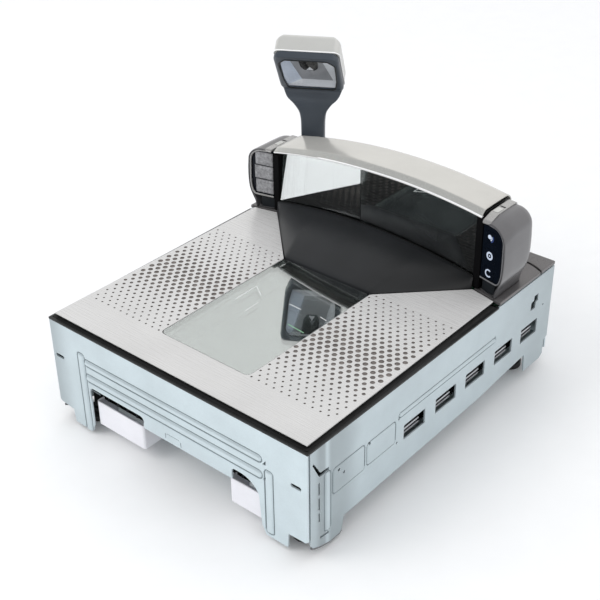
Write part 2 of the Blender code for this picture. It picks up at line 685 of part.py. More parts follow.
def electronics():
    level_plate("main_board", rounded((-20.0, 130.0), (214.0, 346.0), 3.0, 2), (-36.0, -34.4), BOARD)
    sockets = block("interface_ports", (79.0, 121.0), (331.0, 350.0), (-34.1, -18.0), SILVER)
    for index in range(3):
        x = 86.5 + index * 13.5
        mouth = block(f"port_mouth_{index}", (x - 5.2, x + 5.2), (340.0, 360.0), (-31.0, -21.0), BLACK,
                      collection=CUTTERS)
        combine(sockets, mouth, "DIFFERENCE")


def vent_louvres(label, side):
    """The finned plate behind the side openings."""
    x = (HALF - 9.0, HALF - 2.2) if side > 0 else (-HALF + 2.2, -HALF + 9.0)
    comb = block(f"{label}_vent_fins", x, (116.0, 334.0), (-64.0, -43.0), ALUMINIUM)
    for index, (low, high) in enumerate(((-61.0, -58.4), (-56.6, -54.0), (-52.2, -46.0))):
        inner = (x[1] - 5.0, x[1] + 2.0) if side > 0 else (x[0] - 2.0, x[0] + 5.0)
        groove = block(f"{label}_fin_gap_{index}", inner, (119.0, 331.0), (low, high), BLACK,
                       collection=CUTTERS)
        combine(comb, groove, "DIFFERENCE")
    return comb


# ---------------------------------------------------------------- reader on the rear pole

# In the head's place x runs across, z up the face and +y into the head.
POLE_FRAME = frame_at(at(POLE_X, POLE_Y, 0.0), POLE_YAW)
HEAD_PLACE = Matrix.Translation((0.0, -6.0, HEAD_BASE)) @ Matrix.Rotation(HEAD_TILT, 4, "X")
HEAD_FRAME = POLE_FRAME @ HEAD_PLACE
UPRIGHT = Matrix.Identity(4)
BEZEL_DEPTH = 9.0
# Each ring of the bezel: distance below its top edge, and how much narrower it is on each side
HEAD_SIDES = ((HEAD_LENGTH, 2.4), (56.0, 0.4), (30.0, 0.0), (7.0, 0.0), (2.5, 1.4), (0.0, 4.5))
# Each ring of the neck: height, half width, tilt in degrees, place of the front face, depth
NECK = ((92.0, 13.0, 8.0, -8.2, 10.0), (100.0, 18.5, 17.0, -8.6, 9.6), (106.0, 25.0, 26.0, -8.4, 9.2))


def slab_ring(half_width, front, back, corner, matrix, place):
    """A rounded rectangle across the pole or head, moved along it and set in the pole's frame."""
    points = rounded((-half_width, half_width), (front, back), corner, 3)
    return [matrix @ Vector((x, y, place)) for x, y in points]


def reader_shell():
    """The dark front shell: a flat pole that fans out into the window frame of the head."""
    rings = []
    for height, half in ((4.6, 11.0), (30.0, 10.6), (84.0, 10.8)):
        rings.append(slab_ring(half, -8.0, 2.0, 3.0, UPRIGHT, height))
    for height, half, tilt, forward, depth in NECK:
        turn = Matrix.Translation((0.0, forward, height)) @ Matrix.Rotation(math.radians(tilt), 4, "X")
        rings.append(slab_ring(half, 0.0, depth, 3.0, turn, 0.0))
    for below_top, narrowing in HEAD_SIDES:
        half, along = HEAD_HALF - narrowing, HEAD_LENGTH - below_top
        rings.append(slab_ring(half, 0.0, BEZEL_DEPTH, 3.0, HEAD_PLACE, along))
    shell = loft("reader_front_shell", rings, CHARCOAL, POLE_FRAME)
    pocket = front_plate("window_pocket", reader_window_outline(0.0), (-3.0, 14.0), CHARCOAL,
                         frame=HEAD_FRAME, collection=CUTTERS)
    combine(shell, pocket, "DIFFERENCE")
    return shell


def reader_window_outline(inset):
    """The reader's window: square at the top, drawn in at the bottom, in the head's (x, z)."""
    i = inset
    half = [(19.0 - i, 4.5 + i), (23.0 - i, 8.5 + i * 0.6), (24.6 - i, 47.0), (22.6 - i, 52.0 - i),
            (17.0, 54.2 - i)]
    return half + [(-x, z) for x, z in reversed(half)]


def cup(name, rings, thickness, material, apex=None, outward=False, smooth_angle=None):
    """A shell through closed rings, shut behind the last ring by a flat face or a crowned one."""
    bm = bmesh.new()
    loops = [[bm.verts.new(point) for point in ring] for ring in rings]
    count = len(loops[0])
    for front, back in zip(loops, loops[1:]):
        for i in range(count):
            j = (i + 1) % count
            bm.faces.new((front[i], front[j], back[j], back[i]))
    if apex is None:
        bm.faces.new(loops[-1])
    else:
        top = bm.verts.new(apex)
        for i in range(count):
            bm.faces.new((loops[-1][i], loops[-1][(i + 1) % count], top))
    bmesh.ops.recalc_face_normals(bm, faces=bm.faces)
    bmesh.ops.transform(bm, matrix=HEAD_FRAME, verts=bm.verts)
    mesh = bpy.data.meshes.new(name)
    bm.to_mesh(mesh)
    bm.free()
    obj = finish(mesh, name, material, None, smooth_angle)
    solidify = obj.modifiers.new("wall", "SOLIDIFY")
    solidify.thickness = thickness * MM
    solidify.offset = 1.0 if outward else -1.0
    return obj


# Each ring of the reader's cap: depth behind the bezel's face, and size of the outline
CAP_RINGS = ((9.4, 1.0), (16.5, 0.985), (19.0, 0.95), (20.8, 0.87), (22.0, 0.72), (22.6, 0.42))


def reader_cap():
    """The silver back of the head: a crowned cup, deepest in the middle."""
    middle = HEAD_LENGTH / 2 + 0.4
    front = CAP_RINGS[0][0]
    rings = []
    for depth, scale in CAP_RINGS:
        outline = rounded((-30.6 * scale, 30.6 * scale), (middle - 29.2 * scale, middle + 29.2 * scale),
                          7.0 * scale)
        rise = 4.4 * (depth - front) / 13.2
        rings.append([(x, depth + rise * (1.0 - (x / HEAD_HALF) ** 2), z) for x, z in outline])
    return cup("reader_cap", rings, 1.4, SILVER, apex=(0.0, 27.2, middle), smooth_angle=35)


def reader_inside():
    """The recessed window, the pale funnel behind it and the lens at the funnel's top."""
    front_plate("reader_window", reader_window_outline(0.4), (2.6, 4.4), GLASS, frame=HEAD_FRAME)
    mouth = [(x, 5.4, z) for x, z in rounded((-22.4, 22.4), (7.0, 51.0), 3.0, 2)]
    floor = [(x, 17.0, z) for x, z in rounded((-13.0, 13.0), (20.0, 44.0), 2.0, 2)]
    cup("reader_funnel", [mouth, floor], 0.8, PALE, outward=True)
    block("reader_camera", (-9.0, 9.0), (8.0, 15.6), (34.0, 42.6), GLOSS, 1.2, HEAD_FRAME)


def reader_back():
    """The rear half of the pole, and the reader's cable down through the deck."""
    rings = [slab_ring(10.0, 2.4, 8.0, 2.4, UPRIGHT, 10.6), slab_ring(10.0, 2.4, 8.0, 2.4, UPRIGHT, 86.0),
             slab_ring(11.4, 3.6, 8.6, 2.2, UPRIGHT, 96.0)]
    loft("reader_back_shell", rings, CHARCOAL, POLE_FRAME)
    x, y = POLE_X, POLE_Y
    wire("reader_cable", [(x, y, 4.2), (x, y, -20.0), (x + 12.0, y - 2.0, -31.0), (x + 60.0, y - 6.0, -31.0),
                          (-26.0, 310.0, -31.0)], 2.0, BLACK)


# ---------------------------------------------------------------- assembly

def build():
    front_panel()
    for side in (-1, 1):
        side_panel(side)
        vent_louvres("right" if side > 0 else "left", side)
        label = "right" if side > 0 else "left"
        end_cap(label, side)
        cap_foot(label, side)
        indicator_strip(label, side)
    rear_panel()
    base_pan()
    for label, centre in zip(FOOT_NAMES, FEET):
        levelling_foot(label, centre)
    counter_bracket("left_counter_bracket", (-99.0, -45.0))
    counter_bracket("right_counter_bracket", (60.0, 97.0))
    top_frame()
    drip_seal()
    platter()
    platter_backing()
    platter_window()
    scale_spider()
    load_cell()
    load_cell_mount()
    lower_optics()
    riser()
    upright_window()
    window_frame()
    bonnet()
    control_cap()
    speaker_cap()
    tower_inside()
    rear_deck()
    cable_cover()
    electronics()
    reader_shell()
    reader_cap()
    reader_inside()
    reader_back()


build()
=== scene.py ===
import math

import bmesh
import bpy
import numpy as np
from mathutils import Matrix, Vector


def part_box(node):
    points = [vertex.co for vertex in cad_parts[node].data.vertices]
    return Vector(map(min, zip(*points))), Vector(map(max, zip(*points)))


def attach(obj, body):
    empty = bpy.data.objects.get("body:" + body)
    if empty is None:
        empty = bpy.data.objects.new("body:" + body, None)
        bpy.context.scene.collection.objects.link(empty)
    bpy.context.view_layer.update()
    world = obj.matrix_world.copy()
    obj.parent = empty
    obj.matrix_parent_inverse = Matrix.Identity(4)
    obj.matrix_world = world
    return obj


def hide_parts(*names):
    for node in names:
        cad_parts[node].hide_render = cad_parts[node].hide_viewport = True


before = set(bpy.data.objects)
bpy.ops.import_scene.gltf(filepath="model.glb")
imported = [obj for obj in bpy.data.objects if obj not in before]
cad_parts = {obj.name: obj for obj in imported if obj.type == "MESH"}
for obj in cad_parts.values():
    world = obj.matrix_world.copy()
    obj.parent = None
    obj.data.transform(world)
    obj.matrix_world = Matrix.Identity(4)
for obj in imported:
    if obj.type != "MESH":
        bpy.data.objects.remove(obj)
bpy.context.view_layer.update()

# Lengths are in millimetres: x from the middle, y from the front face, z from the chassis rim.
MM = 0.001
WIDTH = 292.0
DEPTH = 354.0
HALF = WIDTH / 2
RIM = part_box("right_side_panel")[1].z
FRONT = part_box("rear_panel")[1].y - DEPTH * MM
TOP = (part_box("platter")[1].z - RIM) / MM            # platter surface
LEG = (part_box("front_panel")[0].z - RIM) / MM        # lower edge of the legs

CHASSIS, PLATTER = "chassis", "platter_assembly"
SIDES = {-1: "left", 1: "right"}


def at(x, y, z):
    return Vector((x * MM, FRONT + y * MM, RIM + z * MM))


def local_frame(origin, turn_z=0.0):
    return Matrix.Translation(origin) @ Matrix.Rotation(turn_z, 4, "Z") @ Matrix.Scale(MM, 4)


def shift(x=0.0, y=0.0, z=0.0):
    return Matrix.Translation((x, y, z))


def clamp(value):
    return min(1.0, max(0.0, value))


def sided(side, near, far):
    """The span between two distances from the middle, on one side of it."""
    return sorted((side * near, side * far))


BASE = local_frame(at(0, 0, 0))
FACING_FRONT = Matrix.Rotation(math.pi / 2, 4, "X")     # outline (x, z), thickness along -y
FACING_SIDE = Matrix(((0, 0, 1, 0), (1, 0, 0, 0), (0, 1, 0, 0), (0, 0, 0, 1)))


# ---- materials

class Nodes:
    """The node tree of a material or a world, under construction."""

    def __init__(self, owner):
        owner.use_nodes = True
        self.owner = owner
        self.tree = owner.node_tree
        self.coordinates = self.node("ShaderNodeTexCoord").outputs

    def node(self, kind, inputs=None, **values):
        """A new node. Its inputs, by name or number, take a value or a link."""
        made = self.tree.nodes.new(kind)
        for key, value in values.items():
            setattr(made, key, value)
        self.feed(made, inputs or {})
        return made

    def feed(self, node, inputs):
        for key, value in inputs.items():
            if isinstance(value, bpy.types.NodeSocket):
                self.tree.links.new(value, node.inputs[key])
            else:
                node.inputs[key].default_value = value

    def noise(self, size, stretch=(1, 1, 1), detail=3.0):
        """Noise whose blobs measure about size millimetres, stretched along the axes."""
        scale = [1.0 / (size * MM * s) for s in stretch]
        mapping = self.node("ShaderNodeMapping", {"Scale": scale, "Vector": self.coordinates["Object"]})
        noise = self.node("ShaderNodeTexNoise", {"Scale": 1.0, "Detail": detail, "Roughness": 0.55,
                                                 "Vector": mapping.outputs["Vector"]})
        return noise.outputs["Fac"]

    def spread(self, source, low, high, start=0.3, end=0.7):
        """The source, between start and end, spread over low to high."""
        ramp = self.node("ShaderNodeMapRange", {"From Min": start, "From Max": end, "To Min": low,
                                                "To Max": high, "Value": source})
        return ramp.outputs["Result"]

    def mix(self, factor, first, second, mode="MIX"):
        """Mixed colours. Each is a socket or three numbers."""
        colours = [c if isinstance(c, bpy.types.NodeSocket) else (*c, 1.0) for c in (first, second)]
        mixer = self.node("ShaderNodeMix", data_type="RGBA", blend_type=mode)
        self.feed(mixer, {0: factor, 6: colours[0], 7: colours[1]})
        return mixer.outputs[2]

    def dimmed(self, colour, factor):
        return self.mix(1.0, colour, factor, "MULTIPLY")

    def edges(self, radius):
        """Normals rounded over a radius in millimetres, and a mask of the edges."""
        normal = self.node("ShaderNodeBevel", {"Radius": radius * MM}, samples=6).outputs["Normal"]
        flat = self.node("ShaderNodeNewGeometry").outputs["Normal"]
        dot = self.node("ShaderNodeVectorMath", {0: normal, 1: flat}, operation="DOT_PRODUCT")
        return normal, self.spread(dot.outputs["Value"], 1.0, 0.0, 0.75, 0.98)

    def sweep(self, axis, stops):
        """Painted light and shade: grey factors along an axis, through stops at places in millimetres."""
        split = self.node("ShaderNodeSeparateXYZ", {0: self.coordinates["Object"]})
        low, high = stops[0][0], stops[-1][0]
        origin = at(0, 0, 0)["XYZ".index(axis)]
        share = self.spread(split.outputs[axis], 0.0, 1.0, origin + low * MM, origin + high * MM)
        ramp = self.node("ShaderNodeValToRGB", {"Fac": share})
        ramp.color_ramp.interpolation = "EASE"
        elements = ramp.color_ramp.elements
        for index, (spot, factor) in enumerate(stops):
            place = (spot - low) / (high - low)
            element = elements[index] if index < 2 else elements.new(place)
            element.position = place
            element.color = (factor, factor, factor, 1.0)
        return ramp.outputs["Color"]


def shade(colour, factor):
    return tuple(min(1.0, c * factor) for c in colour)


def surface(name, colour, roughness, metallic=0.0, mottle=0.08, mottle_size=30.0, grain=0.8,
            stretch=(1, 1, 1), relief=0.01, spread=0.06, worn=None, rounding=0.4, coat=0.0,
            specular=0.5, sweep=None, painted_reflection_brightness=1.0):
    """A coloured surface with drifting tone, fine grain, rounded edges, and edges made lighter by wear and a
    painted highlight.

    mottle_size, grain, relief and rounding are sizes in millimetres.
    sweep paints light and shade along an axis: (axis, ((place, factor), ...)) in millimetres.
    mirrored is how bright it is painted where another piece reflects it: a painted reflection.
    """
    n = Nodes(bpy.data.materials.new(name))
    tone = n.spread(n.noise(mottle_size), 0.0, 1.0)
    base = n.mix(tone, shade(colour, 1.0 - mottle), shade(colour, 1.0 + mottle))
    fibres = n.noise(grain, stretch, 2.0)
    base = n.dimmed(base, n.mix(n.spread(fibres, 0.0, 1.0), (1.0 - mottle / 2,) * 3, (1.0 + mottle / 2,) * 3))
    # Painted light and shade along an axis.
    if sweep is not None:
        base = n.dimmed(base, n.sweep(*sweep))
    # Painted reflection: the colour is dimmed where this surface is seen in a reflection.
    if painted_reflection_brightness < 1.0:
        path = n.node("ShaderNodeLightPath")
        base = n.mix(path.outputs["Is Glossy Ray"], base, n.dimmed(base, (painted_reflection_brightness,) * 3))
    normal, edge = n.edges(rounding)
    # Lighter edges: part wear, part painted highlight.
    if worn is not None:
        wear_and_highlight_breakup = n.spread(n.noise(4.0), 0.25, 1.0)
        mask = n.node("ShaderNodeMath", {0: edge, 1: wear_and_highlight_breakup}, operation="MULTIPLY")
        base = n.mix(mask.outputs[0], base, worn)
    bump = n.node("ShaderNodeBump", {"Strength": 1.0, "Distance": relief * MM, "Height": fibres,
                                     "Normal": normal})
    n.feed(n.tree.nodes["Principled BSDF"], {
        "Base Color": base, "Roughness": n.spread(fibres, roughness - spread, roughness + spread),
        "Normal": bump.outputs["Normal"], "Metallic": metallic, "Coat Weight": coat, "Coat Roughness": 0.08,
        "Specular IOR Level": specular})
    return n.owner


def family(**look):
    """A maker of surfaces with a common look, apart from what each one states."""
    return lambda name, colour, roughness, **own: surface(name, colour, roughness, **{**look, **own})


def window_glass(name, mirror, tint, dust):
    """Coated glass: part mirror, part clear, with a faint film of dust. Scattered light passes it dimmed."""
    n = Nodes(bpy.data.materials.new(name))

    def clear(share):
        return n.node("ShaderNodeBsdfTransparent", {"Color": (*shade(tint, share), 1.0)}).outputs[0]

    def blend(factor, first, second):
        return n.node("ShaderNodeMixShader", {0: factor, 1: first, 2: second}).outputs[0]

    gloss = n.node("ShaderNodeBsdfGlossy", {"Color": (*shade(tint, 1.02), 1.0), "Roughness": 0.02})
    film = n.node("ShaderNodeBsdfDiffuse", {"Color": (0.75, 0.78, 0.78, 1.0)})
    seen = blend(mirror, clear(1.0), gloss.outputs[0])
    seen = blend(n.spread(n.noise(20.0, detail=5.0), 0.0, dust), seen, film.outputs[0])
    path = n.node("ShaderNodeLightPath")
    n.feed(n.tree.nodes["Material Output"],
           {"Surface": blend(path.outputs["Is Diffuse Ray"], seen, clear(1.0 - mirror))})
    return n.owner


def circuit_board():
    """Green solder mask with copper tracks under it."""
    n = Nodes(bpy.data.materials.new("solder_mask"))
    mapping = n.node("ShaderNodeMapping", {"Scale": (130, 130, 130), "Vector": n.coordinates["Object"]})
    tracks = n.node("ShaderNodeTexBrick", {
        "Vector": mapping.outputs["Vector"], "Color1": (0.010, 0.10, 0.045, 1.0),
        "Color2": (0.012, 0.13, 0.055, 1.0), "Mortar": (0.05, 0.26, 0.12, 1.0), "Mortar Size": 0.04})
    n.feed(n.tree.nodes["Principled BSDF"],
           {"Base Color": tracks.outputs["Color"], "Roughness": n.spread(n.noise(2.0), 0.3, 0.5)})
    return n.owner


ZINC_COLOUR = (0.585, 0.672, 0.705)
zinc = family(metallic=0.30, mottle=0.05, mottle_size=35.0, grain=1.2, relief=0.015,
              worn=(0.80, 0.86, 0.89), rounding=0.5)
ZINC = zinc("zinc_plate", ZINC_COLOUR, 0.40)
# Painted shade: the front panel darkens towards its left end.
ZINC_FRONT_PAINTED_SHADE = zinc("zinc_front", ZINC_COLOUR, 0.40, sweep=("X", (
    (-146.0, 0.66), (-118.0, 0.93), (-60.0, 0.96), (40.0, 1.02), (146.0, 1.04))))
# Painted light and shade along the side: a light strip at the front corner, painted shade near the front, a
# painted highlight on the upright bead, and painted shade towards the back.
ZINC_SIDE_PAINTED_LIGHT = zinc("zinc_side", ZINC_COLOUR, 0.40, sweep=("Y", (
    (0.0, 0.86), (7.0, 0.78), (15.0, 0.58), (19.0, 0.60), (22.5, 0.95), (27.5, 0.64), (38.0, 0.66),
    (68.0, 0.93), (220.0, 0.92), (354.0, 0.70))))
# Painted shade for the creases round the pressings.
CREASE_PAINTED_SHADE = surface("crease_shade", (0.235, 0.28, 0.30), 0.6, mottle=0.15)
# Painted light: the platter skin grows lighter towards the back. Painted reflection: nearly black where other
# pieces reflect it.
STAINLESS_PAINTED_LIGHT = surface("brushed_stainless", (0.66, 0.655, 0.645), 0.29, 0.16, mottle=0.035, mottle_size=50.0,
                    grain=0.35, stretch=(60, 1, 1), relief=0.006, spread=0.07, worn=(0.9, 0.9, 0.9),
                    rounding=0.3, painted_reflection_brightness=0.03, sweep=("Y", ((0.0, 0.93), (110.0, 0.96), (270.0, 1.06))))
SILVER = surface("satin_silver", (0.615, 0.602, 0.565), 0.16, 0.30, mottle=0.03, grain=0.5,
                 stretch=(8, 1, 1), relief=0.004, spread=0.04, rounding=0.5)
# Painted highlight: the bright face of the roof's lip and the ring round the reader's bezel.
LIP_PAINTED_HIGHLIGHT = surface("lip_painted_highlight", (0.92, 0.92, 0.915), 0.3, mottle=0.02, relief=0.004, rounding=0.3)
# Painted shade on the roof's front chamfer.
CHAMFER_PAINTED_SHADE = surface("roof_chamfer_painted_shade", (0.50, 0.50, 0.475), 0.25, 0.3, mottle=0.04, grain=0.6, relief=0.008)
STRIP = surface("strip_silver", (0.42, 0.415, 0.405), 0.25, 0.4, mottle=0.05, grain=0.5, relief=0.006)
# Painted highlight along the control cap's front edge.
RIM_PAINTED_HIGHLIGHT = surface("rim_painted_highlight", (0.25, 0.25, 0.26), 0.3, 0.3, mottle=0.05, relief=0.006)
CAP_SILVER = surface("warm_silver", (0.60, 0.60, 0.575), 0.34, 0.25, mottle=0.03, grain=0.4, relief=0.006,
                     rounding=0.6)
BLACK = surface("black_plastic", (0.008, 0.009, 0.009), 0.45, mottle=0.15, relief=0.03)
DULL_BLACK = surface("dull_black", (0.020, 0.021, 0.022), 0.7, mottle=0.2, relief=0.03)
# Painted shade along the lower bends of the side panels.
HEM_PAINTED_SHADE = surface("rolled_hem_painted_shade", (0.16, 0.165, 0.17), 0.5, 0.2, mottle=0.15, relief=0.02)
VOID = surface("void_black", (0.004, 0.004, 0.0045), 0.8, mottle=0.2, relief=0.02, specular=0.1)
GLOSS = surface("piano_black", (0.0035, 0.0055, 0.010), 0.22, mottle=0.2, relief=0.002, spread=0.03,
                specular=0.15)
moulded = family(mottle=0.10, grain=0.6, spread=0.05, rounding=0.8)
CHARCOAL = moulded("charcoal_plastic", (0.016, 0.019, 0.022), 0.36)
# Painted light and shade: the riser is lighter at its left end and darker towards the right.
RISER_PAINTED_SHADE = moulded("riser_charcoal", (0.019, 0.0205, 0.0225), 0.36,
                      sweep=("X", ((-114.0, 1.15), (10.0, 1.05), (60.0, 0.72), (114.0, 0.50))))
POLE_GREY = moulded("pole_charcoal", (0.050, 0.061, 0.076), 0.38, mottle=0.08)
# Painted shade low on the pieces in this finish, and painted light near their tops.
GREY = surface("grey_plastic", (0.112, 0.110, 0.115), 0.34, 0.25, grain=0.6, worn=(0.26, 0.26, 0.26),
               rounding=0.8, coat=0.5, sweep=("Z", ((4.0, 0.70), (30.0, 0.84), (58.0, 0.92), (76.0, 1.14))))
DECK_GREY = surface("deck_grey", (0.138, 0.131, 0.132), 0.30, 0.3, grain=0.6)
GRILLE = surface("grille_grey", (0.33, 0.33, 0.34), 0.5, 0.2, mottle=0.35, mottle_size=2.5, relief=0.1,
                 rounding=0.6)
pale = family(mottle=0.05)
PALE = pale("pale_plastic", (0.80, 0.80, 0.81), 0.5)
FUNNEL_FLOOR = pale("funnel_floor", (0.36, 0.36, 0.37), 0.5, mottle=0.06)
# Painted bluish light on the reader funnel's left facets.
PALE_BLUE_PAINTED_LIGHT = pale("pale_blue_facet", (0.78, 0.84, 0.95), 0.35)
TUB_FLOOR = pale("tub_floor", (0.235, 0.26, 0.257), 0.5, mottle=0.04, mottle_size=50.0, relief=0.02)
# Painted shade on the tub's upright walls.
TUB_WALL_PAINTED_SHADE = pale("tub_wall", (0.10, 0.11, 0.11), 0.5, mottle=0.06, mottle_size=50.0, relief=0.02)
RUBBER = surface("black_rubber", (0.018, 0.018, 0.018), 0.8, mottle=0.3, grain=0.5, relief=0.06, spread=0.1)
ALUMINIUM = surface("milled_aluminium", (0.62, 0.63, 0.65), 0.32, 0.9, mottle=0.05, grain=0.4,
                    stretch=(1, 30, 1), relief=0.008)
PAINT = surface("white_powder_coat", (0.80, 0.80, 0.84), 0.42, mottle=0.03, relief=0.03, rounding=0.8)
# Painted reflection: the dimple floors are dimmed where other pieces reflect them.
DIMPLE = surface("dimple_floor", (0.17, 0.150, 0.138), 0.6, mottle=0.3, mottle_size=6.0, relief=0.02,
                 painted_reflection_brightness=0.45)
printed = family(mottle=0.05, relief=0.002)
ICON = printed("key_print", (0.62, 0.70, 0.84), 0.5)
ICON_BLUE = printed("key_print_blue", (0.03, 0.06, 0.22), 0.4)
PRINT = printed("window_print", (0.80, 0.83, 0.82), 0.5)
PRINT_GREEN = printed("window_print_green", (0.30, 0.62, 0.36), 0.5)
MIRROR = surface("front_mirror", (0.85, 0.88, 0.88), 0.05, 1.0, mottle=0.02, relief=0.001, spread=0.02)
BOARD = circuit_board()
PLATTER_GLASS = window_glass("platter_glass", 0.435, (0.92, 0.955, 0.945), 0.02)
TOWER_GLASS = window_glass("tower_glass", 0.66, (0.93, 0.96, 0.955), 0.003)
READER_GLASS = window_glass("reader_glass", 0.06, (0.95, 0.96, 0.97), 0.0)


# ---- building

def add_object(name, data):
    obj = bpy.data.objects.new(name, data)
    bpy.context.scene.collection.objects.link(obj)
    return obj


def show(obj, material, body=CHASSIS, *nodes):
    """Put the finish on a new piece, let it ride on a body and stand for CAD nodes."""
    finishes = material if isinstance(material, tuple) else (material,)
    obj.data.materials.clear()
    for one in finishes:
        obj.data.materials.append(one)
    if len(finishes) == 1:
        obj.data.polygons.foreach_set("material_index", [0] * len(obj.data.polygons))
    even = obj.modifiers.new("even_shading", "WEIGHTED_NORMAL")     # large flat faces stay flat
    even.keep_sharp = True
    even.weight = 90
    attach(obj, body)
    if nodes:
        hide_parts(*nodes)


def smooth_shading(mesh, angle):
    mesh.shade_smooth()
    mesh.set_sharp_from_angle(angle=math.radians(angle))


def mesh_from(bm, name, matrix=BASE, smooth=35.0):
    """An object from a bmesh in local millimetres. Its place is in its mesh."""
    bmesh.ops.transform(bm, matrix=matrix, verts=bm.verts)
    bmesh.ops.recalc_face_normals(bm, faces=bm.faces)
    mesh = bpy.data.meshes.new(name)
    bm.to_mesh(mesh)
    bm.free()
    smooth_shading(mesh, smooth)
    return add_object(name, mesh)


def rings_bmesh(rings, closed=True, first_cap=True):
    """Quads between rings of points. Closed rings get caps."""
    bm = bmesh.new()
    loops = [[bm.verts.new(p) for p in ring] for ring in rings]
    count = len(loops[0])
    for low, high in zip(loops, loops[1:]):
        for i in range(count if closed else count - 1):
            j = (i + 1) % count
            bm.faces.new((low[i], low[j], high[j], high[i]))
    if closed and first_cap:
        bm.faces.new(list(reversed(loops[0])))
    if closed:
        bm.faces.new(loops[-1])
    return bm


def loft(name, rings, material, body=CHASSIS, nodes=(), matrix=BASE, smooth=35.0):
    show(mesh_from(rings_bmesh(rings), name, matrix, smooth), material, body, *nodes)


def shell(name, rows, thickness, material, nodes=(), matrix=BASE, smooth=35.0):
    """A sheet through rows of points, with a wall centred on it."""
    obj = mesh_from(rings_bmesh(rows, closed=False), name, Matrix.Identity(4), smooth)
    wall = obj.modifiers.new("wall", "SOLIDIFY")
    wall.thickness = thickness
    wall.offset = 0.0
    wall.use_even_offset = True
    apply_modifiers(obj)
    obj.data.transform(matrix)
    show(obj, material, CHASSIS, *nodes)
    return obj


def evaluated_mesh(obj):
    return bpy.data.meshes.new_from_object(obj.evaluated_get(bpy.context.evaluated_depsgraph_get()))


def apply_modifiers(obj):
    mesh = evaluated_mesh(obj)
    obj.modifiers.clear()
    obj.data = mesh


def boolean(obj, tool, operation="DIFFERENCE"):
    """Cut or intersect, then throw the tool away."""
    modifier = obj.modifiers.new("cut", "BOOLEAN")
    modifier.operation = operation
    modifier.solver = "MANIFOLD"
    modifier.object = tool
    apply_modifiers(obj)
    bpy.data.objects.remove(tool, do_unlink=True)


def arc(centre, radius, start, end, steps=10):
    angles = [math.radians(start + (end - start) * i / steps) for i in range(steps + 1)]
    return [(centre[0] + radius * math.cos(a), centre[1] + radius * math.sin(a)) for a in angles]


def rectangle(x, y):
    return [(x[0], y[0]), (x[1], y[0]), (x[1], y[1]), (x[0], y[1])]


def rounded(x, y, radius, steps=8):
    r = min(radius, abs(x[1] - x[0]) / 2 - 0.01, abs(y[1] - y[0]) / 2 - 0.01)
    return (arc((x[1] - r, y[0] + r), r, -90, 0, steps) + arc((x[1] - r, y[1] - r), r, 0, 90, steps)
            + arc((x[0] + r, y[1] - r), r, 90, 180, steps) + arc((x[0] + r, y[0] + r), r, 180, 270, steps))


def ellipse(centre, rx, ry):
    return [(centre[0] + rx * math.cos(a), centre[1] + ry * math.sin(a))
            for a in (2 * math.pi * i / 28 for i in range(28))]


def curve_bmesh(name, loops, closed, weld, **values):
    """The mesh that curve data with these loops of points gives, its caps welded on."""
    curve = bpy.data.curves.new(name, "CURVE")
    for key, value in values.items():
        setattr(curve, key, value)
    for loop in loops:
        run = curve.splines.new("POLY")
        run.points.add(len(loop) - 1)
        for point, place in zip(run.points, loop):
            point.co = (*place, 1.0)
        run.use_cyclic_u = closed
    holder = add_object(name, curve)
    bm = bmesh.new()
    bm.from_mesh(evaluated_mesh(holder))
    bpy.data.objects.remove(holder, do_unlink=True)
    bmesh.ops.remove_doubles(bm, verts=bm.verts, dist=weld)
    return bm


def slab_object(name, outline, thickness, matrix, edge=0.0, holes=()):
    """A plate from a flat outline with holes, its thickness centred on the outline, edges rounded.

    It is turned while it is filled, because the fill leaves slits between corners on one row.
    """
    turned = Matrix.Rotation(math.radians(7.3), 4, "Z")
    loops = [[turned @ Vector((u, v, 0.0)) for u, v in loop] for loop in (outline, *holes)]
    bm = curve_bmesh(name, loops, True, 0.001, dimensions="2D", fill_mode="BOTH", offset=-edge,
                     extrude=thickness / 2 - edge, bevel_depth=edge, bevel_resolution=2)
    return mesh_from(bm, name, matrix @ turned.inverted(), 20.0)


def slab(name, outline, span, material, body=CHASSIS, nodes=(), edge=0.0, holes=(), facing="top",
         within=BASE):
    """A plate between two depths along the axis it faces."""
    middle = (span[0] + span[1]) / 2
    place = {"top": shift(z=middle), "front": shift(y=middle) @ FACING_FRONT,
             "side": shift(x=middle) @ FACING_SIDE}[facing]
    show(slab_object(name, outline, span[1] - span[0], within @ place, edge, holes), material, body, *nodes)


def spline(keys, steps):
    """Rings or points between the keys, on a smooth curve through them."""
    keys = np.array(keys, float)
    padded = np.concatenate([[2 * keys[0] - keys[1]], keys, [2 * keys[-1] - keys[-2]]])
    made = []
    for i in range(len(keys) - 1):
        a, b, c, d = padded[i:i + 4]
        for k in range(steps):
            t = k / steps
            made.append(0.5 * (2 * b + (c - a) * t + (2 * a - 5 * b + 4 * c - d) * t ** 2
                               + (3 * b - a - 3 * c + d) * t ** 3))
    made.append(keys[-1])
    return made


def tube(name, points, radius, material, matrix=BASE, closed=False):
    """A round rod through points."""
    bm = curve_bmesh(name, [points], closed, 0.0001, dimensions="3D", bevel_depth=radius, bevel_resolution=3,
                     use_fill_caps=True)
    show(mesh_from(bm, name, matrix, 50.0), material)


# ---- pressed sheet metal

PANEL_DROP = 1.0        # how far the panels stop short of the rim
SHEET = 1.6             # thickness
CREASE = 1.1            # depth of the sharp valley round a pressing


def grid_lines(low, high, marks, coarse=8.0, reach=2.4, fine=0.4):
    """Grid lines that are close together near the marks and far apart elsewhere."""
    count = round((high - low) / coarse)
    lines = {round(low + (high - low) * i / count, 3) for i in range(count + 1)}
    for mark in marks:
        for k in range(round(-reach / fine), round(reach / fine) + 1):
            lines.add(round(mark + k * fine, 3))
    kept = [low]
    for line in sorted(lines):
        if low < line < high and line - kept[-1] > fine * 0.5:
            kept.append(line)
    return np.array(kept + [high])


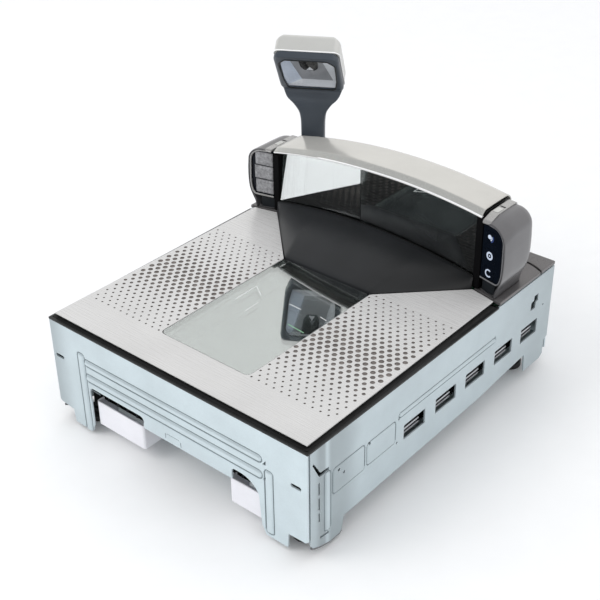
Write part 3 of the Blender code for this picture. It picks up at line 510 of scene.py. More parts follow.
def pressing_height(u, v, pressings):
    """Height of the sheet over its plane: raised pads and beads with a fine crease round each."""
    height = np.zeros_like(u)
    creases = np.zeros_like(u)
    for (u0, u1), (v0, v1), radius, rise, slope in pressings:
        cu, cv = (u0 + u1) / 2, (v0 + v1) / 2
        du = np.abs(u - cu) - ((u1 - u0) / 2 - radius)
        dv = np.abs(v - cv) - ((v1 - v0) / 2 - radius)
        distance = np.hypot(np.maximum(du, 0), np.maximum(dv, 0)) + np.minimum(np.maximum(du, dv), 0) - radius
        t = np.clip(-distance / slope, 0, 1)
        height = np.maximum(height, rise * t * t * (3 - 2 * t))
        creases = np.maximum(creases, CREASE * np.exp(-((distance - 0.5) / 0.55) ** 2) * (t < 0.5))
    return height - creases


def pressed_sheet(name, spans, pressings, outline, holes, outward, place, material, node):
    """A sheet with pressings, trimmed to its outline. outward is +1 where +w is the outside."""
    marks_u = [m for p in pressings for m in p[0]]
    marks_v = [m for p in pressings for m in p[1]]
    us, vs = grid_lines(*spans[0], marks_u), grid_lines(*spans[1], marks_v)
    u, v = np.meshgrid(us, vs, indexing="ij")
    rise = pressing_height(u, v, pressings) * outward
    layers = [np.stack([u, v, rise + side * SHEET / 2], -1).reshape(-1, 3) for side in (-1, 1)]
    points = np.concatenate(layers)
    rows, columns = u.shape
    offset = rows * columns
    index = np.arange(offset).reshape(rows, columns)
    quads = np.stack([index[:-1, :-1], index[1:, :-1], index[1:, 1:], index[:-1, 1:]], -1).reshape(-1, 4)
    rim = np.concatenate([index[:, 0], index[-1, 1:], index[-2::-1, -1], index[0, -2:0:-1]])
    after = np.roll(rim, -1)
    sides = np.stack([rim, after, after + offset, rim + offset], -1)
    faces = np.concatenate([quads[:, ::-1], quads + offset, sides])
    mesh = bpy.data.meshes.new(name)
    mesh.from_pydata(points.tolist(), [], faces.tolist())
    sheet = add_object(name, mesh)
    bm = bmesh.new()
    bm.from_mesh(mesh)
    bmesh.ops.recalc_face_normals(bm, faces=bm.faces)
    bm.to_mesh(mesh)
    bm.free()
    trim = slab_object(name + "_trim", outline, 30.0, Matrix.Identity(4), holes=holes)
    boolean(sheet, trim, "INTERSECT")
    # Faces deep in the creases take the painted crease shade.
    floor = SHEET / 2 - 0.45 * CREASE
    valleys = [outward * face.center.z < floor and outward * face.normal.z > 0.1
               for face in sheet.data.polygons]
    sheet.data.transform(place)
    smooth_shading(sheet.data, 40)
    show(sheet, (material, CREASE_PAINTED_SHADE), CHASSIS, node)
    sheet.data.polygons.foreach_set("material_index", valleys)


# Pressings: two spans, corner radius, rise and width of the slope.
FRONT_PRESSINGS = (
    ((-104.0, 99.0), (-32.0, -26.0), 2.9, 1.0, 2.0), ((-104.0, 99.0), (-48.0, -41.0), 2.9, 1.0, 2.0),
    ((-112.0, -104.5), (-110.0, -22.0), 2.2, 0.7, 1.6), ((102.6, 110.0), (-100.0, -37.0), 2.2, 0.7, 1.6))
SIDE_PRESSINGS = (
    ((20.0, 26.5), (-89.0, -31.0), 2.6, 0.8, 1.6), ((30.0, 68.5), (-57.5, -33.5), 2.5, 0.45, 1.2),
    ((72.5, 109.0), (-56.5, -35.0), 2.5, 0.45, 1.2), ((114.5, 256.0), (-34.4, -30.6), 1.6, 0.7, 1.2))
VENTS = ((121.0, 151.0), (166.0, 196.5), (211.0, 241.0), (257.0, 286.0), (301.0, 329.0))


def front_panel():
    outline = ([(-145.4, -PANEL_DROP), (-145.4, -87.0), (-143.5, -88.4), (-128.0, -90.5), (-126.5, LEG),
                (-104.5, LEG), (-101.0, -95.0), (-101.0, -60.0)]
               + arc((-96.0, -59.0), 5, 180, 90) + arc((-38.0, -58.5), 4.5, 90, -30)
               + [(-33.5, -65.0), (67.0, -65.0), (67.0, -55.6), (69.5, -53.8)]
               + arc((76.0, -76.0), 22.2, 90, 28, 12)
               + [(98.0, -95.0), (102.5, LEG), (124.5, LEG), (125.5, -89.0), (143.0, -88.4), (145.4, -86.5),
                  (145.4, -PANEL_DROP)])
    holes = [rounded((x - 5.2, x + 5.2), (-38.8, -35.2), 1.5) for x in (-137.0, 134.0)]
    for low in (-32.5, -47.5):
        holes.append([(100.4, low), (103.4, low), (103.8, low + 1.0), (103.8, low + 4.6)])
    for x, z in ((-8.0, -59.5), (9.5, -61.0)):      # knock-out ticks under the ribs
        holes.append(rectangle((x, x + 0.8), (z - 2.4, z + 2.4)))
    holes.append(rectangle((-6.2, 8.0), (-57.3, -56.8)))
    pressed_sheet("front_panel_skin", ((-147.0, 147.0), (-112.0, 3.0)), FRONT_PRESSINGS, outline, holes, 1,
                  BASE @ shift(y=0.9) @ FACING_FRONT, ZINC_FRONT_PAINTED_SHADE, "front_panel")


def side_panel(side):
    outline = [(3.0, -PANEL_DROP), (3.0, -91.0), (5.0, -95.5), (14.0, -99.5), (26.0, -103.0), (38.0, -103.0),
               (40.6, -101.0), (43.0, -88.0), (231.0, -84.5), (311.0, -78.0), (313.0, -97.5), (341.0, -97.5),
               (346.0, -94.0), (346.0, -79.0), (351.6, -77.0), (351.6, 0.0), (258.0, 0.0),
               (257.0, -PANEL_DROP)]
    holes = [rounded(span, (-61.0, -45.8), 1.0) for span in VENTS]
    holes.append([(5.4, -13.6), (7.2, -12.8), (14.6, -25.8), (24.8, -26.4), (24.8, -30.2), (13.2, -29.4)])
    for low, high in ((-47.0, -35.0), (-62.0, -50.0), (-74.0, -65.0)):
        holes.append(rectangle((12.1, 13.9), (low, high)))
    holes.append([(14.0, -92.0), (25.0, -93.2), (25.0, -90.8), (14.0, -89.6)])
    keyhole = [(314.6, -32.0), (322.6, -32.0), (323.4, -26.2), (326.6, -25.2), (326.6, -18.0), (319.6, -18.0),
               (319.4, -22.4), (315.0, -23.6)]
    holes.append(keyhole)
    for y, z, radius in ((337.0, -35.0, 1.1), (36.2, -36.8, 1.5), (42.5, -43.0, 1.3), (75.0, -35.8, 1.2),
                         (111.6, -58.0, 1.2), (113.8, -35.2, 1.2), (255.0, -29.6, 1.2)):
        holes.append(arc((y, z), radius, 0, 330, 11))
    place = BASE @ shift(x=side * (HALF - SHEET / 2)) @ FACING_SIDE
    pressed_sheet(f"{SIDES[side]}_side_skin", ((0.0, DEPTH), (-112.0, 3.0)), SIDE_PRESSINGS, outline, holes,
                  side, place, ZINC_SIDE_PAINTED_LIGHT, f"{SIDES[side]}_side_panel")


def side_hem(side):
    """A rolled hem along the lower edge of a side panel, painted dark as the shade under the bend."""
    runs = {"foot": (1.1, ((4.2, -95.4), (8.0, -97.9), (14.0, -100.2), (26.0, -103.4), (38.0, -103.4),
                           (40.4, -101.4))),
            "sill": (0.55, ((43.0, -88.2), (231.0, -84.7), (311.0, -78.2)))}
    for label, (radius, run) in runs.items():
        tube(f"{SIDES[side]}_{label}_hem", [(side * (HALF - 0.9), y, z) for y, z in run], radius, HEM_PAINTED_SHADE)


def vent_fins(side):
    """Finned plate behind the vents: a black well, painted as the shade inside, crossed by two bright bars at
    each vent.
    """
    for index, (low, high) in enumerate(VENTS):
        for bar, z in enumerate((-58.6, -54.4)):
            outline = rounded((low - 1.0, high - 4.0), (z - 0.8, z + 0.8), 0.4, 3)
            slab(f"{SIDES[side]}_fin_{index}_{bar}", outline, sided(side, HALF - 7.4, HALF - 3.6), ALUMINIUM,
                 facing="side")
    # A black plate behind the fins: painted shade in the well.
    outline = rounded((112.0, 336.0), (-68.0, -40.0), 2.0)
    slab(f"{SIDES[side]}_vent_shade_plate", outline, sided(side, HALF - 12.4, HALF - 11.0), VOID,
         nodes=(f"{SIDES[side]}_vent_fins",), facing="side")


def foot(label, centre):
    """A rubber-faced pad on a threaded stem."""
    thread = [(3.9 if k % 2 else 3.3, -60.4 - 0.75 * k) for k in range(46)]
    pad = [(3.6, -95.8), (4.4, -96.0), (6.6, -96.2), (6.6, -99.6), (7.0, -100.0), (10.4, -101.4),
           (11.0, -102.2), (11.0, -106.6), (10.6, -107.6), (10.0, -RIM / MM)]
    rings = [[(x, y, z) for x, y in arc(centre, radius, 0, 352.5, 47)] for radius, z in thread + pad]
    loft(f"foot_{label}_pad", rings, RUBBER, f"foot_{label}", (f"levelling_foot_{label}",), smooth=30)


def bracket(name, span):
    """A folded box of white sheet, open at the back and the top, under the front edge."""
    x0, x1 = span
    front, back, low, high, wall = 4.0, 26.0, -94.0, -69.5, 1.4
    outline = ([(x0, back), (x0 + 0.01, front + 2.5)] + arc((x0 + 2.5, front + 2.5), 2.5, 180, 270, 6)
               + arc((x1 - 2.5, front + 2.5), 2.5, 270, 360, 6) + [(x1, back)])
    inner = [(min(max(x, x0 + wall), x1 - wall), max(y, front + wall)) for x, y in reversed(outline[1:-1])]
    inner = [(x1 - wall, back)] + inner + [(x0 + wall, back)]
    slab(f"{name}_wall", outline + inner, (low, high), PAINT, nodes=(name,), edge=0.2)
    slab(f"{name}_floor", rounded((x0 + 1.5, x1 - 1.5), (front + 1.5, back), 1.0), (low, low + wall), PAINT)
    side = "left" if x0 < 0 else "right"
    # A black plate behind the opening: painted shade over the parts inside.
    slab(f"{side}_opening_painted_shade", rounded((x0 - 4.0, x1 + 6.0), (-72.0, -48.0), 1.0), (12.0, 13.2), VOID,
         facing="front")
    for index in range(4):      # cable loops in the dark behind the opening
        x = x0 + 8.0 + 12.0 * index
        if x < x1:
            loop = [(x, 11.0, -70.0), (x + 5.0, 9.6, -60.0), (x + 9.0, 11.0, -50.0)]
            tube(f"{side}_opening_cable_{index}", loop, 1.1, CHARCOAL)


def rim_skirt():
    """The black frame's skirt, which shows as a dark band over the sheet panels."""
    ring = rounded((-146.05, 146.05), (-0.05, 258.0), 0.6, 3)
    inner = rounded((-143.6, 143.6), (2.4, 255.6), 0.6, 3)
    slab("rim_skirt", ring, (-PANEL_DROP - 0.2, 0.3), BLACK, holes=[inner])


def base_pan():
    outline = rounded((-141.0, 141.0), (17.0, 349.0), 3.0)
    slab("bottom_pan", outline, (-76.8, -75.4), ZINC, nodes=("base_pan",), edge=0.3)


# ---- platter

WINDOW = 50.0
WINDOW_FRONT = 41.0
RISER_FRONT = 200.0
RISER_BACK = 264.0


def platter_outline(m):
    notch = WINDOW + m
    return ([(-141.8 + m, 4.5 + m), (141.8 - m, 4.5 + m), (139.5 - m, 257.6 - m), (114.4 + m, 263.2 - m),
             (notch, 199.0)]
            + arc((notch - 5, WINDOW_FRONT - m + 5), 5, 0, -90, 8)
            + arc((-notch + 5, WINDOW_FRONT - m + 5), 5, -90, -180, 8)
            + [(-notch, 199.0), (-114.4 - m, 263.2 - m), (-139.5 + m, 257.6 - m)])


DIMPLE_X, DIMPLE_Y = (52.6, 3.93, 22), (42.2, 5.44, 30)     # first place, step and count
DIMPLE_FIELD_X, DIMPLE_FIELD_Y = (WINDOW + 0.6, 140.5), (WINDOW_FRONT, 207.0)
DIMPLE_DEPTH = 0.7


def dimple_radius(share):
    """Small dimples at the front and back rows, large ones in between."""
    return 0.95 + 1.45 * max(0.0, math.sin(math.pi * min(1.0, 1.02 * share))) ** 2.2


def platter():
    plate = slab_object("platter_skin", platter_outline(0.0), 1.2, BASE @ shift(z=TOP - 0.6), 0.35)
    cutters = bmesh.new()
    for side in (-1, 1):
        for i in range(DIMPLE_X[2]):
            for j in range(i % 2, DIMPLE_Y[2], 2):
                x, y = DIMPLE_X[0] + DIMPLE_X[1] * i, DIMPLE_Y[0] + DIMPLE_Y[1] * j
                radius = dimple_radius(j / (DIMPLE_Y[2] - 1))
                bmesh.ops.create_cone(cutters, cap_ends=True, segments=18, radius1=radius * 0.9,
                                      radius2=radius * 1.1, depth=2 * DIMPLE_DEPTH,
                                      matrix=shift(side * x, y, TOP))
    boolean(plate, mesh_from(cutters, "dimples"))
    smooth_shading(plate.data, 30)
    show(plate, (STAINLESS_PAINTED_LIGHT, DIMPLE), PLATTER, "platter")
    to_base = BASE.inverted()
    for face in plate.data.polygons:
        x, y, z = to_base @ face.center
        deep = TOP - DIMPLE_DEPTH - 0.05 < z < TOP - DIMPLE_DEPTH + 0.5
        in_field = (DIMPLE_FIELD_X[0] < abs(x) < DIMPLE_FIELD_X[1]
                    and DIMPLE_FIELD_Y[0] < y < DIMPLE_FIELD_Y[1])
        face.material_index = int(deep and in_field)


def platter_rim():
    """The black under-plate whose edge shows below the skin."""
    slab("platter_rim", platter_outline(0.5), (0.8, 2.9), BLACK, PLATTER, edge=0.5)
    outline = [(-135.6, 11.0), (135.6, 11.0), (135.6, 251.0), (107.0, 251.0), (53.5, 197.5), (-53.5, 197.5),
               (-107.0, 251.0), (-135.6, 251.0)]
    opening = rounded((-44.0, 44.0), (47.0, 190.0), 4.0)
    slab("backing_plate", outline, (-1.4, 0.8), BLACK, PLATTER, ("platter_backing",), holes=[opening])


def platter_window():
    """The pane, and the scanning guides that show through it."""
    outline = rounded((-WINDOW + 0.4, WINDOW - 0.4), (WINDOW_FRONT + 0.4, RISER_FRONT - 1.0), 5.0)
    slab("platter_glass_pane", outline, (1.0, TOP - 0.35), PLATTER_GLASS, PLATTER, ("platter_window",),
         edge=0.3)
    marks = (((-36.5, 120.0), (-37.0, 147.0), PRINT), ((-37.0, 147.0), (-24.0, 138.4), PRINT),
             ((-17.0, 110.0), (-17.4, 128.0), PRINT), ((5.0, 143.0), (19.0, 142.5), PRINT),
             ((39.0, 144.0), (47.0, 142.6), PRINT), ((25.0, 118.0), (44.0, 116.3), PRINT_GREEN))
    half_width = 0.4
    for index, (start, end, material) in enumerate(marks):
        start, end = Vector(start), Vector(end)
        across = (end - start).normalized().orthogonal() * half_width
        outline = [start - across, start + across, end + across, end - across]
        slab(f"window_mark_{index}", outline, (TOP - 0.36, TOP - 0.30), material, PLATTER)


def optics_under_platter():
    """Pale tub under the glass: the floor is light, and its upright walls are painted darker as shade."""
    rim = rounded((-51.0, 51.0), (41.0, 204.0), 5.0)
    floor = rounded((-50.6, 50.6), (41.4, 203.6), 4.8)
    rings = [[(x, y, 0.2) for x, y in rim], [(x, y, -24.0) for x, y in floor]]
    tub = mesh_from(rings_bmesh(rings, first_cap=False), "tub_liner", BASE, 30)
    # Upright faces take the painted shade, level faces the floor's colour.
    for face in tub.data.polygons:
        face.material_index = int(abs(face.normal.z) > 0.99)
    show(tub, (TUB_WALL_PAINTED_SHADE, TUB_FLOOR))


# ---- tower

ARCH_RADIUS = 590.0
ARCH_TOP = 88.0
ROOF_SKEW = 0.045
BONNET_HALF = 117.6
ROOF_FLAT = 281.0                # where the level part of the roof starts
CHAMFER_BACK = 269.0
LIP_DROP = (3.95, 7.0)           # span of the lip below the roof's crown line; its faces carry a painted highlight
TOWER_FRONT = 266.0
TOWER_BACK = 311.0
DECK_TOP = 4.9
CAP_INNER = 120.0
CAP_FOOT = 4.8
CAP_FRONT = 264.6                # at its inner edge
CAP_BACK = 306.0
CONTROL_CAP_RISE = 3.6
CAP_YAW = math.radians(13.3)


def arch_height(x, crown):
    return crown - (ARCH_RADIUS - math.sqrt(ARCH_RADIUS ** 2 - x * x))


def roof_height(x, crown):
    """The roof's arch: it stands a little higher towards the control cap."""
    return arch_height(x, crown) + ROOF_SKEW * x


def riser():
    """The dark ramp from the platter window up to the upright window."""
    rows = []
    across, along = 96, 16
    straight = 1 / 1.75      # share of the width that is level with the platter window
    for i in range(across + 1):
        t = 1.0 - 2.0 * i / across
        spread = max(0.0, abs(t) - straight) / (1 - straight)
        front_x = 49.0 * max(-1.0, min(1.0, t / straight)) + math.copysign(spread * 64.4, t)
        front_y = RISER_FRONT + spread * (RISER_BACK - RISER_FRONT - 1.5)
        low = Vector((front_x, front_y, 1.0))
        lip = Vector((front_x, front_y, TOP + 0.2))
        back = Vector((113.6 * t, RISER_BACK, arch_height(113.6 * t, 27.0)))
        edge = lip + (back - lip).normalized() * 0.8 + Vector((0, 0, 0.6))
        row = [low, lip]
        for k in range(along + 1):
            s = k / along
            point = edge.lerp(back, s)
            point.z += 2.2 * math.sin(math.pi * s) * (1.0 - spread)
            row.append(point)
        rows.append(row)
    shell("riser_ramp", rows, 1.2, RISER_PAINTED_SHADE, ("riser",), smooth=50)
    ledge = [(x, RISER_BACK + 0.6, arch_height(x, 26.6) + 0.7) for x in np.linspace(-113.0, 113.0, 41)]
    tube("window_gasket", ledge, 0.75, BLACK)


PANE_JOINT = -13.5
PANE_LEAN = math.radians(7.0)


def tower_glass():
    """Two panes behind the opening: the left one leans back, so each mirrors another part of the scene."""
    spans = {"left": (-112.4, PANE_JOINT - 0.3), "right": (PANE_JOINT + 0.3, 112.4)}
    for label, (x0, x1) in spans.items():
        xs = np.linspace(x0, x1, 24)
        outline = [(x, arch_height(x, 23.5)) for x in xs] + [(x, roof_height(x, 82.6)) for x in xs[::-1]]
        lean = PANE_LEAN if label == "left" else 0.0
        upright = BASE @ shift(y=TOWER_FRONT + 1.2, z=20.0) @ Matrix.Rotation(-lean, 4, "X") @ shift(z=-20.0)
        pane = slab_object(f"upright_pane_{label}", outline, 2.0, upright @ FACING_FRONT, 0.2)
        show(pane, TOWER_GLASS, CHASSIS, *(("upright_window",) if label == "left" else ()))
        if label == "left":
            for index, x in enumerate((-105.0, -99.0, -84.0)):
                tube(f"pane_rib_{index}", [(x, -0.2, 24.0), (x, -0.2, 73.0)], 0.28, CHARCOAL, upright)
    tube("pane_seam", [(PANE_JOINT, TOWER_FRONT, 22.0), (PANE_JOINT, TOWER_FRONT, 80.0)], 0.35, BLACK)
    for side, name in SIDES.items():
        top = roof_height(side * 117.0, ARCH_TOP) - 5.4
        post = rounded(sided(side, 112.6, 119.2), (DECK_TOP, top), 1.4)
        slab(f"window_post_{name}", post, (264.6, 271.5), VOID, facing="front", edge=0.8)
    slab("window_sill", rectangle((-112.8, 112.8), (DECK_TOP, 10.4)), (265.2, 271.5), BLACK,
         nodes=("window_frame",), facing="front")


def chamfer_share(x):
    """How much of its full height the chamfer has: it thins out towards the speaker cap."""
    return min(1.0, 1.0 + 0.4 * x / BONNET_HALF)


def bonnet():
    """The silver roof: a lip painted bright as a highlight, a chamfer painted darker as shade, an arched top
    and a rounded drop at the back.
    """
    rows = []
    steps = 64
    for i in range(steps + 1):
        x = BONNET_HALF - 2 * BONNET_HALF * i / steps
        top = roof_height(x, ARCH_TOP)
        path = [(266.6, -5.6), (265.2, -5.6), (264.7, -5.4), (264.5, -5.0), (264.5, -4.7), (264.8, -4.3),
                (265.2, -3.9), (268.6, -0.8), (269.4, -0.35), (270.4, -0.1), (271.6, 0.0), (281.0, 0.15),
                (292.0, 0.15), (301.0, 0.0)]
        path += [(TOWER_BACK - 9.5 + 9.5 * math.sin(a), -9.5 + 9.5 * math.cos(a))
                 for a in (math.radians(10 * k) for k in range(1, 10))]
        row = [(x, y, top + z * (chamfer_share(x) if y < ROOF_FLAT else 1.0)) for y, z in path]
        row.append((x, TOWER_BACK, DECK_TOP))
        rows.append(row)
    roof = shell("bonnet_roof", rows, 1.5, (SILVER, LIP_PAINTED_HIGHLIGHT, CHAMFER_PAINTED_SHADE), ("bonnet",), smooth=28)
    to_base = BASE.inverted()
    for face in roof.data.polygons:
        x, y, z = to_base @ face.center
        drop = (roof_height(x, ARCH_TOP) - z) / chamfer_share(x)
        # The lip's faces get the painted highlight, the chamfer's faces the painted shade.
        if y < CHAMFER_BACK and drop < LIP_DROP[1]:
            face.material_index = 1 if drop > LIP_DROP[0] else 2
    for side, name in SIDES.items():
        top = roof_height(side * BONNET_HALF, ARCH_TOP)
        profile = ([(267.0, 5.2), (267.0, top - 6.6), (270.6, top - 3.2), (272.4, top - 2.6),
                    (299.5, top - 2.6)] + arc((300.5, top - 11.0), 8.2, 80, 0, 8) + [(308.7, 5.2)])
        span = sided(side, BONNET_HALF - 1.4, BONNET_HALF + 0.1)
        slab(f"roof_end_{name}", profile, span, BLACK, facing="side")


def cap_path(side):
    """An end cap from its inner top, over the shoulder and down to the foot, as (x, z)."""
    squat = 1.0 if side > 0 else 0.92      # the speaker cap stands a little lower
    lower = spline([(HALF, 50.0), (HALF, 39.0), (145.1, 28.0), (142.8, 20.0), (139.4, 12.0),
                    (138.0, CAP_FOOT)], 5)
    path = ([(CAP_INNER, 73.6), (124.5, 73.6), (129.6, 73.4)] + arc((131.6, 59.6), 13.8, 84, 4, 12)
            + [tuple(p) for p in lower])
    return [(x, CAP_FOOT + squat * (z - CAP_FOOT)) for x, z in path]


def cap_lift(side, y):
    """The control cap's top climbs behind its front edge; the speaker cap's is level."""
    return CONTROL_CAP_RISE * clamp((y - 262.0) / 12.0) if side > 0 else 0.0


def cap_point(side, x, z, y, inset):
    """A point of the cap's path at a depth, drawn in by an inset except at its inner edge and its foot."""
    outer, upper = min(1.0, (x - CAP_INNER) / 10.0), clamp((z - 20.0) / 44.0)
    return side * (x - inset * outer), z + upper * (cap_lift(side, y) - inset)


def end_cap(side):
    # Share of the depth, and inset.
    stations = ((-0.006, 0.7), (0.0, 0.15), (0.012, 0.0), (0.3, 0.0), (0.6, 0.0), (0.80, 0.1), (0.88, 0.5),
                (0.93, 1.1), (0.965, 2.0), (0.985, 3.0), (0.997, 4.4), (1.0, 6.0))
    rows = []
    for depth, inset in stations:
        row = []
        for x, z in cap_path(side):
            front = CAP_FRONT - (x - CAP_INNER) * math.tan(CAP_YAW)
            y = front + (CAP_BACK - front) * depth
            across, height = cap_point(side, x, z, y, inset)
            row.append((across, y, height))
        rows.append(row[::side])
    shell(f"{SIDES[side]}_cap_cover", rows, 1.5, GREY, (f"{SIDES[side]}_end_cap",), smooth=40)
    back = [cap_point(side, x, z, 305.0, 6.0) for x, z in cap_path(side)] + [(side * CAP_INNER, CAP_FOOT)]
    slab(f"{SIDES[side]}_cap_back", back[::side], (305.0, 306.4), GREY, facing="front")


def cap_frame(side):
    """Frame of a cap's slanted front: x outward from its inner edge, -y towards the operator."""
    return local_frame(at(side * CAP_INNER, CAP_FRONT, 0.0), -side * CAP_YAW)


def insert_outline(side, margin, low, inner=0.3):
    """Outline of a panel that fills the cap's mouth above a height, in the cap's frame."""
    centre = Vector((12.0, 46.0))
    shrunk = []
    for u, z in ((x - CAP_INNER, z) for x, z in cap_path(side) if z > low + 1.0):
        direction = (Vector((u, z)) - centre).normalized()
        shrunk.append((u - direction.x * margin, z - direction.y * margin))
    corner = arc((shrunk[-1][0] - 4.5, low + 4.5), 4.5, -20, -90, 6)
    loop = [(inner, shrunk[0][1])] + shrunk[1:] + corner + [(inner, low)]
    return [(side * u, z) for u, z in loop]


KEY_U = 9.9
KEYS = {"volume": 61.0, "zero": 43.8, "reset": 26.6}


def icon(key, part, outline, material=ICON, holes=()):
    """Part of a key's printed icon, which rides on the key."""
    slab(f"{key}_icon_{part}", outline, (-0.42, -0.28), material, f"{key}_button", holes=holes,
         facing="front", within=cap_frame(1))


def control_cap():
    """The gloss panel with its three keys and their icons."""
    place = {"facing": "front", "within": cap_frame(1)}
    square = {key: (KEY_U, z) for key, z in KEYS.items()}
    holes = [rounded((u - 6.1, u + 6.1), (z - 6.1, z + 6.1), 2.9) for u, z in square.values()]
    slab("control_fascia", insert_outline(1, 2.2, 19.8), (-0.2, 2.4), GLOSS, nodes=("control_panel",),
         edge=0.6, holes=holes, **place)
    for key, (u, z) in square.items():
        outline = rounded((u - 5.95, u + 5.95), (z - 5.95, z + 5.95), 2.8)
        slab(f"{key}_key_cap", outline, (-0.3, 2.9), GLOSS, f"{key}_button", (f"{key}_key",), edge=0.2,
             **place)
    middle = (KEY_U - 1.2, KEYS["volume"])
    icon("volume", "dot", ellipse((KEY_U - 1.5, KEYS["volume"] + 0.7), 2.1, 2.1))
    for index, (radius, colour) in enumerate(((3.0, ICON), (4.6, ICON_BLUE))):
        band = arc(middle, radius, -65, 35, 8) + arc(middle, radius - 1.1, 35, -65, 8)
        icon("volume", f"wave_{index}", band, colour)
    icon("zero", "ring", ellipse(square["zero"], 3.7, 4.0), holes=[ellipse(square["zero"], 2.0, 2.2)])
    icon("zero", "dot", ellipse(square["zero"], 0.8, 0.8))
    icon("reset", "ring", arc(square["reset"], 3.9, 50, 320, 20) + arc(square["reset"], 2.6, 320, 50, 20))
    sill_and_rim(1)


def sill_and_rim(side):
    """The dark recess under the panel, and the pale rim that runs round the panel's foot."""
    name, place = SIDES[side], cap_frame(side)
    outline = [(side * u, z) for u, z in rounded((0.4, 15.4), (4.7, 17.6), 2.0)]
    slab(f"{name}_sill_block", outline[::side], (3.0, 9.0), CHARCOAL, nodes=(f"{name}_cap_sill",),
         facing="front", within=place, edge=0.5)
    loop = insert_outline(side, 1.2, 18.6, 0.0)[1:]
    # On the control cap the rim is a painted highlight along the front edge; on the speaker cap it is the
    # silver frame.
    thickness, finish = (0.7, RIM_PAINTED_HIGHLIGHT) if side > 0 else (0.95, STRIP)
    tube(f"{name}_fascia_rim", [(u, 0.2, z) for u, z in loop], thickness, finish, place)
    ledge = ((0.6, 2.0, 5.6), (8.0, 1.2, 5.4), (15.6, 0.6, 5.4), (16.6, 2.4, 7.0))
    tube(f"{name}_foot_rim", [(side * u, y, z) for u, y, z in ledge], 0.6, GREY, place)


GRILLES = {"top": (50.8, 64.4), "middle": (36.0, 49.6), "bottom": (20.8, 34.8)}
WEAVE_PITCH = 1.5


def speaker_cap():
    """A gloss panel behind three crowned, woven grilles."""
    place = cap_frame(-1)
    slab("speaker_fascia", insert_outline(-1, 2.2, 17.8)[::-1], (1.6, 4.2), GLOSS, nodes=("speaker_panel",),
         facing="front", within=place, edge=0.6)
    for label, (low, high) in GRILLES.items():
        reach = 20.4 if label == "middle" else 19.4
        us, zs = np.linspace(-reach, -0.3, 68), np.linspace(low, high, 54)
        u, z = np.meshgrid(us, zs, indexing="ij")
        edge = np.minimum(np.minimum(u - us[0], us[-1] - u), np.minimum(z - zs[0], zs[-1] - z))
        shoulder = np.clip(edge / 2.6, 0, 1)
        crown = 1.6 * np.sqrt(shoulder * (2 - shoulder))
        weave = 0.22 * np.sin(u * 2 * math.pi / WEAVE_PITCH) * np.sin(z * 2 * math.pi / WEAVE_PITCH)
        weave *= np.clip(edge / 1.2, 0, 1)
        rows = [[(a, 1.55 - c - w, b) for a, b, c, w in zip(*line)] for line in zip(u, z, crown, weave)]
        shell(f"grille_{label}_face", rows, 0.5, GRILLE, (f"speaker_grille_{label}",), place, 60)
    sill_and_rim(-1)


def indicator(side):
    """The silver strip on a cap's top, with a small raised tab at its front."""
    name, seat = SIDES[side], cap_path(side)[0][1]
    profile = ((0.1, 0.3), (0.1, 1.7), (0.5, 2.0), (7.2, 1.7), (7.8, 1.2), (7.8, 0.3))
    rings = []
    for y, drop in ((262.2, 1.4), (262.6, 0.6), (263.4, 0.15), (264.6, 0.0), (268.0, 0.0), (271.0, 0.0),
                    (274.0, 0.0), (277.0, 0.0), (300.0, 0.0), (303.0, 0.3), (304.6, 1.4)):
        level = seat + cap_lift(side, y) - drop
        rings.append([(side * (CAP_INNER + u), y, level + z) for u, z in profile])
    loft(f"{name}_light_strip", rings, STRIP, nodes=(f"{name}_indicator_strip",), smooth=40)
    x = sided(side, CAP_INNER + 1.2, CAP_INNER + 6.6)
    level = seat + cap_lift(side, 280.0)
    tab, slot = rounded(x, (275.0, 284.0), 1.2), rounded(x, (286.5, 288.0), 0.5)
    slab(f"{name}_strip_tab", tab, (level + 1.6, level + 2.4), CAP_SILVER, edge=0.3)
    slab(f"{name}_strip_slot", slot, (level + 1.7, level + 2.02), DULL_BLACK)


def tower_inside():
    """Dark ribs that show dimly behind the upright window."""
    for index, x in enumerate((-60.0, 8.0, 62.0)):
        slab(f"inner_rib_{index}", rounded((x - 1.2, x + 1.2), (8.0, 66.0), 0.5), (284.0, 290.0), CHARCOAL,
             facing="front")


# ---- deck and reader

def both_halves(half):
    """An outline from its right half, which runs from one end of the middle line to the other."""
    return half + [(-x, y) for x, y in reversed(half)]


def cover_edge(offset):
    """The joint between deck and cover: it curves forward at the corners."""
    shares = [i / 14 for i in range(15)]
    return both_halves([(HALF - 0.3 - 21.0 * t, 327.5 + 6.5 * math.sin(t * math.pi / 2) + offset)
                        for t in shares])


POLE_X, POLE_Y = -116.8, 323.0
POLE_YAW = math.radians(29.7)
HEAD_TILT = math.radians(39.0)
HEAD_BASE = 114.6
HEAD_LENGTH = 60.0
BEZEL = 7.0
POLE_PLACE = local_frame(at(POLE_X, POLE_Y, 0.0), POLE_YAW)
HEAD_LOCAL = shift(y=-6.0, z=HEAD_BASE) @ Matrix.Rotation(HEAD_TILT, 4, "X")
HEAD_PLACE = POLE_PLACE @ HEAD_LOCAL
UPRIGHT = Matrix.Identity(4)


def deck():
    """The deck behind the tower, and the lift-off cover behind that."""
    front = both_halves([(145.7, 259.3), (139.4, 260.0), (114.6, 265.4), (112.6, 272.4)])
    outline = front[::-1] + cover_edge(-1.0)
    holes = [arc((POLE_X, POLE_Y), 4.5, 0, 352, 30), rounded((-95.0, 95.0), (280.0, 296.0), 3.0)]
    slab("deck_plate", outline, (0.9, TOP), DECK_GREY, nodes=("rear_deck",), edge=0.5, holes=holes)
    outline = cover_edge(0.9) + [(-145.7, 351.8), (145.7, 351.8)]
    slab("cover_plate", outline, (0.9, TOP + 0.4), DECK_GREY, "rear_cover", ("cable_cover",), edge=0.6)


